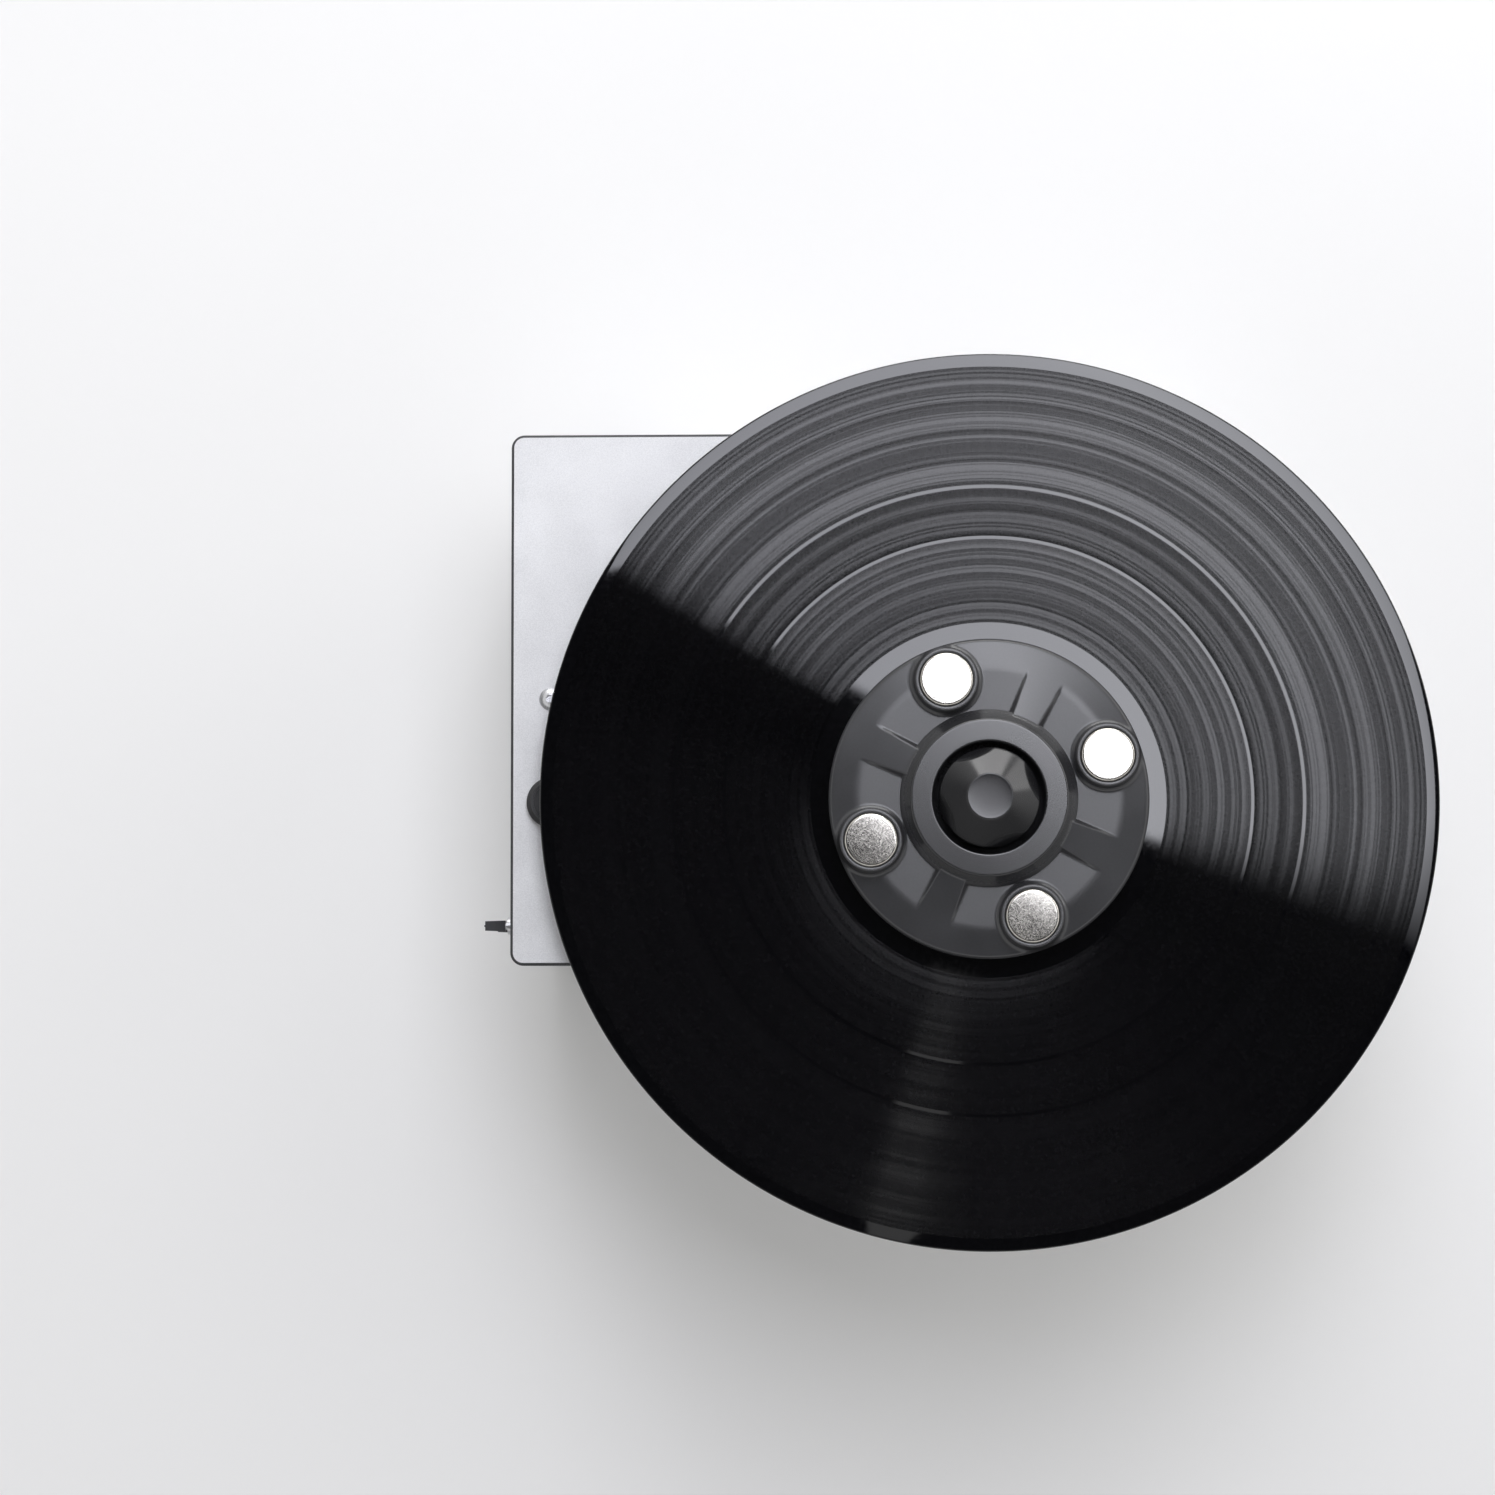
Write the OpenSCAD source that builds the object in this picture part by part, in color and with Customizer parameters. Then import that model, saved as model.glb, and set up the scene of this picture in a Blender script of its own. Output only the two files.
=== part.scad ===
// Record cleaning machine: a compact case with a label-size platter on top,
// a clamped record, a belt drive, a suction fan and a waste tank.
// Millimetres, +Z up. The origin is under the middle of the whole object, on
// the floor. +Y points to the rear and the switches are on the left wall.

/* [Case] */
// Width of the case, left to right
case_w = 250; // [240:1:270]
// Depth of the case, front to rear
case_d = 182; // [178:1:200]
// Height of the folded wall wrap
wrap_h = 156.5; // [153:0.5:175]
// Thickness of the wall wrap
wall_t = 3; // [2.5:0.5:4]
// Outer radius of the upright corners
corner_r = 4.5; // [4:0.5:8]
// Thickness of the base plate
base_t = 3; // [2:0.5:5]
// Thickness of the dark core of the top panel
core_t = 2.5; // [2:0.5:4]
// Thickness of the metal skin on the top panel
skin_t = 0.5; // [0.3:0.1:1]
// Width and height of the bevel round the top panel
bevel = 1; // [0.6:0.1:1.5]
// Height of the rubber feet
foot_h = 8; // [5:1:14]
// Diameter of the rubber feet
foot_d = 20; // [16:1:26]
// Distance from the case sides to a foot's centre
foot_inset = 26; // [24:1:32]

/* [Fasteners] */
// Shank diameter of the panel screws
screw_d = 4; // [3:0.5:5]
// Head diameter of the panel screws
screw_head_d = 7.6; // [6.6:0.2:9]
// Head height of the panel screws
screw_head_h = 2.2; // [1.6:0.1:2.8]
// Size across flats of the screw sockets
screw_af = 2.5; // [2:0.5:3]
// Distance from the case edge to a panel screw
screw_inset = 13.6; // [12:0.2:16]
// Shank diameter of the small screws
small_screw_d = 3; // [2.5:0.5:3.5]
// Gap between a screw and its hole, on the radius
screw_gap = 0.2; // [0.1:0.05:0.3]
// Thickness of the brackets and nuts
bracket_t = 2.5; // [2:0.5:3.5]
// Width and depth of a wall bracket
bracket_w = 17; // [16:0.5:20]

/* [Spindle and platter] */
// Distance from the left wall to the spindle axis
spindle_from_left = 162.3; // [158:0.1:170]
// Distance from the front wall to the spindle axis
spindle_from_front = 55.5; // [52:0.5:62]
// Gap between the top panel and the record
record_gap = 14.8; // [14:0.2:20]
// Diameter of the platter
platter_d = 104; // [90:1:110]
// Thickness of the platter disc
platter_t = 7; // [5:0.5:9]
// Thickness of the platter's rubber mat
mat_t = 1.5; // [1:0.5:3]
// Diameter of the spindle where the record sits
spindle_d = 7.1; // [7:0.02:7.2]
// Diameter of the spindle's threaded end
thread_d = 6; // [5:0.5:6.5]
// Height of the threaded end above the record
thread_h = 17; // [14:1:20]
// Diameter of the shaft in its bearings
shaft_d = 8; // [7.5:0.5:9]
// Outer diameter of the ball bearings
bearing_d = 22; // [21:1:26]
// Width of the ball bearings
bearing_w = 7; // [6:1:9]
// Diameter of the bearing balls
ball_d = 3.9; // [3.2:0.1:4]
// Outer diameter of the bearing housing's barrel
housing_d = 34; // [32:1:40]
// Length of the bearing housing's barrel
housing_l = 32; // [30:1:35]
// Diameter of the bearing housing's flange
flange_d = 56; // [54:1:62]
// Running gap between turning and fixed round parts, on the radius
run_gap = 0.08; // [0.03:0.01:0.1]

/* [Belt drive] */
// Diameter of the platter's pulley
pulley_d = 60; // [50:1:66]
// Diameter of the motor's pulley
motor_pulley_d = 20; // [16:1:24]
// Width of both pulleys
pulley_w = 10; // [8:1:12]
// Distance between the two pulley axes
belt_centres = 66; // [62:1:72]
// Thickness of the flat belt
belt_t = 1.5; // [1:0.25:2]
// Gap between the belt and the pulleys
belt_gap = 0.3; // [0.2:0.05:0.4]
// Diameter of the geared motor
gearmotor_d = 37; // [32:1:40]
// Length of the gearbox
gearbox_l = 26; // [20:1:30]
// Length of the motor below its gearbox
gearmotor_l = 31; // [25:1:36]
// Diameter of the geared motor's output shaft
output_d = 6; // [5:0.5:6]

/* [Record] */
// Diameter of the record
record_d = 301.6; // [299:0.1:303]
// Thickness of the record at its rim and label
record_t = 2.2; // [1.8:0.1:2.6]
// Depth of the grooved band below the rim on each side
groove_sink = 0.25; // [0.1:0.05:0.4]
// Diameter where the grooved band begins, inside
groove_in_d = 121; // [116:1:130]
// Width of the smooth rim
rim_w = 3.6; // [2:0.2:5]
// Diameter of the record's centre hole
hole_d = 7.26; // [7.24:0.01:7.3]
// Diameter of the paper labels
label_d = 100; // [90:1:102]

/* [Clamp] */
// Diameter of the clamp
clamp_d = 107; // [106:0.5:112]
// Height of the clamp's rim above the record
clamp_rim_h = 9.5; // [8:0.5:10]
// Height of the sloping top where it meets the hub
clamp_cone_h = 13.8; // [13:0.1:15]
// Height of the hub above the record
hub_h = 16.5; // [16:0.5:19]
// Diameter of the hub's flat top
hub_d = 51.9; // [50:0.1:54]
// Diameter at the foot of the hub
hub_foot_d = 59.2; // [57:0.1:61]
// Diameter of the well that the knob turns in
well_d = 37.3; // [36:0.1:39]
// Diameter of the outer edge of the flat pockets
pocket_d = 88.4; // [86:0.2:92]
// Width of a spoke at the hub
spoke_in_w = 9; // [7:0.5:12]
// Width of a spoke at its outer end
spoke_out_w = 12.2; // [9:0.2:15]
// Wall thickness of the clamp
clamp_t = 3; // [2:0.5:4]
// Radius of the circle that the magnets stand on
magnet_ring_r = 41.7; // [40:0.1:42]
// Angle of the first magnet from the right, anticlockwise
magnet_angle = 19.7; // [0:0.1:40]
// Diameter of a magnet
magnet_d = 17.9; // [16:0.1:18.4]
// Height of a magnet's face above the record
magnet_h = 17.3; // [16.5:0.1:18]
// Thickness of a magnet
magnet_t = 6; // [5:0.5:7]
// Chamfer round a magnet's face
magnet_edge = 0.8; // [0.4:0.1:1.2]
// Thickness of a magnet's collar at its top
collar_t = 1.4; // [1.2:0.1:1.5]
// Thickness of the rubber seal under the clamp
seal_t = 1; // [0.8:0.1:1.5]
// Width of the rubber seal under the clamp
seal_w = 3; // [2:0.5:4]

/* [Knob] */
// Diameter of the knob
knob_d = 33.1; // [31:0.1:34]
// Height of the knob's top above the record
knob_h = 26.5; // [25:0.5:30]
// Diameter of the knob's flat top
knob_flat_d = 15; // [12:0.2:17]
// Height of the edge where the knob's slope ends
knob_edge_h = 19.5; // [18.5:0.5:20]
// Diameter of the knob's stem
stem_d = 15; // [14:0.5:18]
// Diameter of the brass insert
insert_d = 10; // [9:0.5:11]

/* [Suction arm socket] */
// Diameter of the socket's collar
socket_d = 17.4; // [16:0.1:18]
// Height of the collar above the top panel
socket_h = 4.5; // [3:0.5:6]
// Diameter of the socket's barrel
barrel_d = 15; // [14:0.1:15.5]
// Diameter of the socket's bore
socket_bore_d = 11; // [9:0.5:12]
// Distance from the left wall to the socket's axis
socket_inset = 14.6; // [14:0.2:18]
// Thickness of the bung's head
bung_t = 2.5; // [1.5:0.5:3]
// Diameter of the bung's head
bung_d = 15.2; // [13:0.1:16]
// Length of the bung's plug
bung_l = 12; // [8:1:16]
// Drop from the panel's underside to the socket's side outlet
outlet_drop = 31; // [28:1:40]

/* [Switches] */
// Distance from the front wall to the switches
switch_from_front = 14.1; // [13:0.1:20]
// Drop from the top panel to the upper switch
switch_drop = 45; // [40:1:60]
// Distance between the two switches
switch_pitch = 45; // [30:1:60]
// Diameter of the switch bushing
bushing_d = 6; // [5.5:0.1:6.5]
// Length of the bushing outside the wall
bushing_out = 5; // [4:0.5:6]
// Diameter of the toggle
toggle_d = 2.4; // [2:0.1:2.6]
// Distance from the wall to the paddle's tip
paddle_out = 13.4; // [12:0.1:15]
// Width of the paddle
paddle_w = 3.8; // [3:0.1:4.4]
// Height of the paddle
paddle_h = 4.4; // [3:0.2:5]
// Angle of the toggle either side of its middle
toggle_tilt = 13; // [8:1:15]

/* [Suction] */
// Diameter of the suction motor
fan_motor_d = 76; // [70:1:80]
// Height of the suction motor
fan_motor_h = 54; // [48:1:55]
// Height of the rubber ring under the suction motor
isolator_h = 5; // [4:1:8]
// Diameter of the fan housing
fan_d = 96; // [92:1:98]
// Height of the fan housing
fan_h = 32; // [28:1:34]
// Wall thickness of the fan housing
fan_t = 2; // [1.5:0.5:3]
// Diameter of the impeller
impeller_d = 84; // [76:1:86]
// Number of impeller blades
blades = 9; // [7:1:12]
// Clearance between the fan housing and the walls
fan_clear = 4; // [2:0.5:6]
// Diameter of the fan's shaft
fan_shaft_d = 8; // [6:1:10]

/* [Waste tank] */
// Depth of the tank, front to rear
tank_d = 58; // [50:1:60]
// Wall thickness of the tank
tank_t = 2.5; // [2:0.5:4]
// Clearance from the tank to the left wall
tank_clear = 2; // [1:0.5:4]
// Gap between the tank's rear and the rear wall
tank_rear_gap = 20; // [18:1:26]
// Thickness of the tank's lid
lid_t = 4; // [3:0.5:5]
// Straight rise of the liquid hose above the tank's lid
hose_rise = 12.5; // [12:0.5:30]
// Outer diameter of the liquid hose
hose_d = 15; // [13:0.5:16]
// Bore of the liquid hose
hose_bore = 11; // [10:0.5:11.5]
// Outer diameter of the air hose
air_d = 20; // [18:0.5:22]
// Bore of the air hose
air_bore = 16; // [14:0.5:17]
// Diameter of the drain spigot
drain_d = 12; // [10:0.5:14]
// Bore of the drain spigot
drain_bore = 8; // [6:0.5:9]
// Length of the drain spigot outside the rear wall
drain_l = 11; // [10:1:14]
// Length of the drain plug inside the spigot
plug_l = 8; // [6:1:10]
// Thickness of the drain plug's head
plug_head_t = 3; // [2:0.5:4]

/* [Mains inlet] */
// Width of the inlet's body
inlet_w = 27; // [26:0.5:28]
// Height of the inlet's socket part
inlet_h = 20; // [19:0.5:22]
// Depth of the inlet's body
inlet_d = 21; // [20:1:24]
// Height of the fuse drawer
drawer_h = 9; // [8:0.5:11]
// Width of the inlet's flange beyond its body
inlet_lip = 2; // [1.5:0.5:3]
// Thickness of the inlet's flange
inlet_lip_t = 2; // [1.5:0.5:3]

/* [Hidden] */
$fn = 96;
eps = 0.01;

// Places in plan, from the case's left front corner to the shared origin
reach_left = spindle_from_left + paddle_out;
reach_right = max(record_d / 2, case_w - spindle_from_left);
spindle_x = (reach_left - reach_right) / 2;
case_x = spindle_x - spindle_from_left;
case_y = -spindle_from_front;

// Heights from the floor up
base_z = foot_h;
floor_z = base_z + base_t;
core_z = floor_z + wrap_h;
skin_z = core_z + core_t;
top_z = skin_z + skin_t;
record_z = top_z + record_gap;
record_top = record_z + record_t;
mat_z = record_z - mat_t;
platter_z = mat_z - platter_t;

// Holes in the top panel
panel_hole_d = shaft_d + 8;
socket_hole_d = barrel_d + 2 * screw_gap;

// Base blocks and feet
block_w = 12;
block_mid = wall_t + block_w / 2;
foot_seat_z = foot_h - 3;

// Bearings, shaft and pulleys
housing_flange_t = 4;
housing_low_z = core_z - housing_flange_t - housing_l;
bearing_seat_t = 2;
bearing_top_z = core_z - bearing_w - 0.5;
bearing_low_z = housing_low_z + bearing_seat_t;
ring_t = (bearing_d - shaft_d) / 2 * 0.3;
ball_ring_r = (bearing_d + shaft_d) / 4;
balls = 7;
clip_t = 1;
clip_z = housing_low_z - 0.4 - clip_t;
pulley_z = clip_z - 1.2 - pulley_w;
shaft_low_z = pulley_z - 3;
flange_screw_r = (housing_d + flange_d) / 4;
flange_lip = 1.5;
belt_w = pulley_w - 2 * flange_lip - 1;
motor_x = spindle_x - belt_centres;
plate_z = pulley_z - 3 - bracket_t;
bracket_reach = gearmotor_d / 2 + 8;
bracket_depth = 30;
shaft_depth = 12;
boss_d = output_d + 6;

// Clamp slopes
clamp_r = clamp_d / 2;
rim_in_r = clamp_r - 0.6;
cone_slope = (clamp_cone_h - clamp_rim_h) / (rim_in_r - hub_foot_d / 2);
pocket_h = clamp_rim_h + (rim_in_r - pocket_d / 2) * cone_slope;
knob_floor_h = 6;
floor_low_h = knob_floor_h - clamp_t + 0.4;
clip_h = floor_low_h - 0.2 - clip_t;
skirt_low_h = knob_floor_h + 0.1;
stem_low_h = clip_h - 0.6;
collar_top_h = magnet_h - 0.7;
collar_foot_t = collar_t + 0.8;

// Suction motor and fan
fan_x = case_x + case_w - wall_t - fan_clear - fan_d / 2;
fan_y = case_y + case_d - wall_t - fan_clear - fan_d / 2;
fan_motor_z = floor_z + isolator_h;
fan_z = fan_motor_z + fan_motor_h;
fan_top_z = fan_z + fan_h;
fan_spigot_h = 12;
outlet_w = 36;
outlet_h = 18;
outlet_z = fan_z + fan_h / 2;

// Tank, hoses and drain
tank_x = case_x + wall_t + tank_clear;
tank_w = fan_x - fan_d / 2 - 10 - tank_x;
tank_y = case_y + case_d - wall_t - tank_rear_gap - tank_d;
spigot_h = 12;
socket_x = case_x + socket_inset;
hose_z = core_z - outlet_drop;
hose_bend = 16;
lid_top_z = hose_z - hose_bend - hose_rise;
lid_z = lid_top_z - lid_t;
tank_h = lid_z - floor_z;
inlet_y = tank_y + 18;
air_out_x = tank_x + tank_w - 16;
air_bend = 18;
air_z = core_z - air_d / 2 - 3;
drain_x = tank_x + 20;
drain_z = floor_z + 14;
barrel_low_z = hose_z - hose_bore / 2 - 4;

// Switches
upper_z = top_z - switch_drop;
lower_z = upper_z - switch_pitch;
switch_y = case_y + switch_from_front;
mouth_depth = 3;
pivot_out = bushing_out - 2;
pivot_pin_d = 1.2;
pivot_pin_l = bushing_d - 0.2;

// Mains inlet on the rear wall
inlet_x = (tank_x + tank_w + fan_x - fan_motor_d / 2) / 2 + 4;
inlet_z = floor_z + 22;
inlet_total_h = inlet_h + drawer_h;
inlet_wall = 2;
pin_w = 2;
pin_high = 4;

// Power board and the parts on it
board_t = 1.6;
board_w = 92;
board_d = 56;
board_inset = 34;
part_edge = 10;
board_x = case_x + board_inset;
board_y = case_y + wall_t + part_edge;
board_post_h = 6;
board_post_d = 6;
board_post_inset = 5;
board_nut_d = 5.6;
board_nut_h = 1.8;
board_z = floor_z + board_post_h;
part_gap = 4;
transformer_w = 34;
transformer_d = 30;
transformer_h = 24;
relay_w = 12;
relay_d = 20;
relay_h = 15;
relay_x = part_edge + transformer_w + 2 * part_gap;
capacitor_d = 12;
capacitor_h = 22;
capacitor_y = part_edge + relay_d + part_gap + capacitor_d / 2;
terminal_w = 12;
terminal_d = 7;
terminal_h = 10;

// Colours
silver = [0.84, 0.85, 0.87];
steel = [0.62, 0.63, 0.65];
black = [0.10, 0.10, 0.11];
charcoal = [0.22, 0.22, 0.24];
rubber = [0.07, 0.07, 0.07];
brass = [0.78, 0.62, 0.30];
green = [0.10, 0.36, 0.22];
amber = [0.88, 0.88, 0.82];

// Plain building shapes

module rounded(w, d, r) {
    translate([r, 0]) square([w - 2 * r, d]);
    translate([0, r]) square([w, d - 2 * r]);
    for (x = [r, w - r], y = [r, d - r]) translate([x, y]) circle(r);
}

module slab(w, d, h, r) {
    linear_extrude(h) rounded(w, d, r);
}

module ring(outer_d, inner_d, h) {
    difference() {
        cylinder(d = outer_d, h = h);
        translate([0, 0, -1]) cylinder(d = inner_d, h = h + 2);
    }
}

module at_spindle(z = 0) {
    translate([spindle_x, 0, z]) children();
}

module at_case(z = 0) {
    translate([case_x, case_y, z]) children();
}

// The four places at the middle of the case's sides
module at_side_middles(inset) {
    translate([inset, case_d / 2, 0]) children();
    translate([case_w - inset, case_d / 2, 0]) rotate(180) children();
    translate([case_w / 2, inset, 0]) rotate(90) children();
    translate([case_w / 2, case_d - inset, 0]) rotate(-90) children();
}

module at_corners(inset) {
    for (x = [inset, case_w - inset], y = [inset, case_d - inset]) {
        translate([x, y, 0]) children();
    }
}

module at_magnets() {
    for (k = [0 : 3]) {
        rotate(magnet_angle + 90 * k) translate([magnet_ring_r, 0, 0]) children();
    }
}

// A slab whose upper edges are bevelled by b
module bevelled_slab(w, d, h, r, b) {
    low = h - b;
    slab(w, d, low, r);
    translate([0, d - r, low]) rotate([90, 0, 0])
        linear_extrude(d - 2 * r) polygon([[0, 0], [w, 0], [w - b, b], [b, b]]);
    translate([r, 0, low]) rotate([90, 0, 90])
        linear_extrude(w - 2 * r) polygon([[0, 0], [d, 0], [d - b, b], [b, b]]);
    for (x = [r, w - r], y = [r, d - r]) {
        translate([x, y, low]) cylinder(r1 = r, r2 = r - b, h = b);
    }
}

// A round-headed socket screw pointing down, its head standing on z = 0
module button_screw(d, head_d, head_h, l, af) {
    difference() {
        union() {
            rotate_extrude() intersection() {
                square([head_d / 2, head_h]);
                translate([0, head_h - head_d * 0.62]) circle(head_d * 0.62);
            }
            translate([0, 0, -l]) cylinder(d = d, h = l + eps);
        }
        translate([0, 0, head_h * 0.4]) cylinder(d = af / cos(30), h = head_h, $fn = 6);
    }
}

// A hose bend of 90 degrees in the XZ plane, from pointing up at the origin
// round to +X, with the outer diameter d and the bore b
module hose_elbow(bend, d, b) {
    translate([bend, 0, 0]) rotate([90, 0, 0]) rotate([0, 0, 90])
        rotate_extrude(angle = 90) translate([bend, 0]) difference() {
            circle(d = d);
            circle(d = b);
        }
}

// Case

module top_holes(z, h) {
    at_case(z - 1) {
        at_side_middles(screw_inset) cylinder(d = screw_d + 2 * screw_gap, h = h + 2);
    }
    at_spindle(z - 1) cylinder(d = panel_hole_d, h = h + 2);
    translate([socket_x, 0, z - 1]) cylinder(d = socket_hole_d, h = h + 2);
}

module top_skin() {
    color(silver) difference() {
        at_case(skin_z) translate([bevel, bevel, 0])
            slab(case_w - 2 * bevel, case_d - 2 * bevel, skin_t, corner_r - bevel);
        top_holes(skin_z, skin_t);
    }
}

module top_core() {
    color(black) difference() {
        at_case(core_z) bevelled_slab(case_w, case_d, core_t, corner_r, bevel);
        top_holes(core_z, core_t);
        at_spindle(core_z - 1) for (k = [0 : 2]) {
            rotate(120 * k + 30) translate([flange_screw_r, 0, 0])
                cylinder(d = small_screw_d, h = core_t);
        }
        at_bracket_screws() translate([0, 0, core_z - 1])
            cylinder(d = small_screw_d, h = core_t);
    }
}

module case_wrap() {
    inner_r = max(corner_r - wall_t, 0.5);
    color(silver) difference() {
        at_case(floor_z) slab(case_w, case_d, wrap_h, corner_r);
        at_case(floor_z - 1) translate([wall_t, wall_t, 0])
            slab(case_w - 2 * wall_t, case_d - 2 * wall_t, wrap_h + 2, inner_r);
        for (z = [upper_z, lower_z]) {
            translate([case_x - 1, switch_y, z]) rotate([0, 90, 0])
                cylinder(d = bushing_d + 2 * screw_gap, h = wall_t + 2);
        }
        translate([fan_x - outlet_w / 2, case_y + case_d - wall_t - 1, outlet_z - outlet_h / 2])
            cube([outlet_w, wall_t + 2, outlet_h]);
        translate([inlet_x - inlet_w / 2 - screw_gap, case_y + case_d - wall_t - 1, inlet_z - screw_gap])
            cube([inlet_w + 2 * screw_gap, wall_t + 2, inlet_total_h + 2 * screw_gap]);
        translate([drain_x, case_y + case_d - wall_t - 1, drain_z]) rotate([-90, 0, 0])
            cylinder(d = drain_d + 2 * screw_gap, h = wall_t + 2);
    }
}

module base_plate() {
    color(steel) difference() {
        at_case(base_z) slab(case_w, case_d, base_t, corner_r);
        at_case(base_z - 1) {
            at_corners(block_mid) cylinder(d = screw_d + 2 * screw_gap, h = base_t + 2);
            at_corners(foot_inset) cylinder(d = screw_d, h = base_t + 2);
        }
        for (k = [0 : 5]) {
            translate([fan_x, fan_y, base_z - 1]) rotate(60 * k)
                translate([fan_motor_d / 4, 0, 0]) cylinder(d = 7, h = base_t + 2);
        }
    }
}

module base_blocks() {
    color(steel) at_case(floor_z) at_corners(block_mid) difference() {
        translate([-block_w / 2, -block_w / 2, 0]) slab(block_w, block_w, block_w, 2);
        translate([0, 0, -1]) cylinder(d = screw_d, h = block_w - 1);
    }
}

module top_brackets() {
    leg = bracket_w - 2;
    to_wall = screw_inset - wall_t;
    color(steel) at_case(core_z) at_side_middles(screw_inset) difference() {
        union() {
            translate([-to_wall, -bracket_w / 2, -bracket_t]) cube([bracket_w, bracket_w, bracket_t]);
            translate([-to_wall, -bracket_w / 2, -leg]) cube([bracket_t, bracket_w, leg]);
        }
        translate([0, 0, -bracket_t - 1]) cylinder(d = screw_d, h = bracket_t + 2);
    }
}

module top_screws() {
    color(steel) at_case(top_z) at_side_middles(screw_inset)
        button_screw(screw_d, screw_head_d, screw_head_h, core_t + skin_t + bracket_t + 3, screw_af);
}

// Four screws up into the blocks, and a shorter one up through each foot
module base_screws() {
    color(steel) {
        at_case(base_z) at_corners(block_mid) mirror([0, 0, 1])
            button_screw(screw_d, screw_head_d, screw_head_h, base_t + block_w - 4, screw_af);
        at_case(foot_seat_z) at_corners(foot_inset) mirror([0, 0, 1])
            button_screw(screw_d, screw_head_d, screw_head_h, floor_z - 0.4 - foot_seat_z, screw_af);
    }
}

module feet() {
    color(rubber) at_case(0) at_corners(foot_inset) difference() {
        rotate_extrude() difference() {
            polygon([
                [0, 0], [foot_d / 2 - 1.5, 0], [foot_d / 2 - 0.7, 0.6],
                [foot_d / 2, foot_h], [0, foot_h]
            ]);
        }
        translate([0, 0, foot_seat_z]) cylinder(d = screw_d + 2 * screw_gap, h = foot_h);
        translate([0, 0, -1]) cylinder(d = screw_head_d + 1, h = foot_seat_z + 1);
    }
}

// Platter and bearings

module platter() {
    hub_low = top_z + 2.5;
    color(charcoal) at_spindle() difference() {
        union() {
            rotate_extrude() polygon([
                [0, platter_z], [platter_d / 2 - 2, platter_z], [platter_d / 2, platter_z + 2],
                [platter_d / 2, mat_z], [0, mat_z]
            ]);
            translate([0, 0, hub_low]) cylinder(d = shaft_d + 16, h = platter_z - hub_low + eps);
        }
        translate([0, 0, hub_low - 1]) cylinder(d = shaft_d, h = mat_z - hub_low + 2);
    }
}

module platter_mat() {
    color(rubber) at_spindle(mat_z) ring(platter_d, shaft_d + 4, mat_t);
}

module spindle() {
    lower_thread = 1;
    color(steel) at_spindle() {
        difference() {
            translate([0, 0, shaft_low_z]) cylinder(d = shaft_d, h = mat_z - shaft_low_z);
            translate([0, 0, clip_z]) ring(shaft_d + 2, shaft_d - 1, clip_t);
        }
        translate([0, 0, mat_z - eps]) cylinder(d = spindle_d, h = record_top + lower_thread - mat_z);
        translate([0, 0, record_top]) cylinder(d = thread_d, h = thread_h - 1);
        translate([0, 0, record_top + thread_h - 1])
            cylinder(d1 = thread_d, d2 = thread_d - 2, h = 1);
    }
}

module at_flange_screws() {
    at_spindle() for (k = [0 : 2]) {
        rotate(120 * k + 30) translate([flange_screw_r, 0, 0]) children();
    }
}

module bearing_housing() {
    color(silver) difference() {
        at_spindle() {
            translate([0, 0, core_z - housing_flange_t]) cylinder(d = flange_d, h = housing_flange_t);
            translate([0, 0, housing_low_z]) cylinder(d = housing_d, h = housing_l + eps);
        }
        at_spindle(housing_low_z - 1) cylinder(d = shaft_d + 6, h = core_z);
        at_spindle(bearing_low_z) cylinder(d = bearing_d, h = bearing_w);
        at_spindle(bearing_low_z + bearing_w - eps)
            cylinder(d = bearing_d - 3, h = bearing_top_z - bearing_low_z - bearing_w + 2 * eps);
        at_spindle(bearing_top_z) cylinder(d = bearing_d, h = core_z);
        at_flange_screws() translate([0, 0, core_z - housing_flange_t - 1])
            cylinder(d = small_screw_d + 2 * screw_gap, h = housing_flange_t + 2);
    }
}

// Both bearings stand on the same axis, so each ring node has two solids
module at_bearings() {
    for (z = [bearing_low_z, bearing_top_z]) at_spindle(z) children();
}

module ball_groove() {
    translate([0, 0, bearing_w / 2]) rotate_extrude() translate([ball_ring_r, 0])
        circle(d = ball_d + 2 * run_gap, $fn = 48);
}

module bearing_outer_rings() {
    color(steel) at_bearings() difference() {
        ring(bearing_d, bearing_d - 2 * ring_t, bearing_w);
        ball_groove();
    }
}

module bearing_inner_rings() {
    color(steel) at_bearings() difference() {
        ring(shaft_d + 2 * ring_t, shaft_d, bearing_w);
        ball_groove();
    }
}

module bearing_balls() {
    color(silver) at_bearings() for (k = [0 : balls - 1]) {
        rotate(360 / balls * k) translate([ball_ring_r, 0, bearing_w / 2]) sphere(d = ball_d, $fn = 32);
    }
}

module shaft_clip() {
    color(steel) at_spindle(clip_z) ring(shaft_d + 4, shaft_d - 1, clip_t);
}

// Belt drive

module flanged_pulley(d, bore) {
    difference() {
        union() {
            cylinder(d = d, h = pulley_w);
            cylinder(d = d + 5, h = flange_lip);
            translate([0, 0, pulley_w - flange_lip]) cylinder(d = d + 5, h = flange_lip);
        }
        translate([0, 0, -1]) cylinder(d = bore, h = pulley_w + 2);
    }
}

module platter_pulley() {
    color(black) at_spindle(pulley_z) flanged_pulley(pulley_d, shaft_d);
}

module motor_pulley() {
    color(black) translate([motor_x, 0, pulley_z]) flanged_pulley(motor_pulley_d, output_d);
}

// The outline round both pulleys, grown by g
module belt_outline(g) {
    hull() {
        translate([spindle_x, 0]) circle(pulley_d / 2 + g);
        translate([motor_x, 0]) circle(motor_pulley_d / 2 + g);
    }
}

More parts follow.
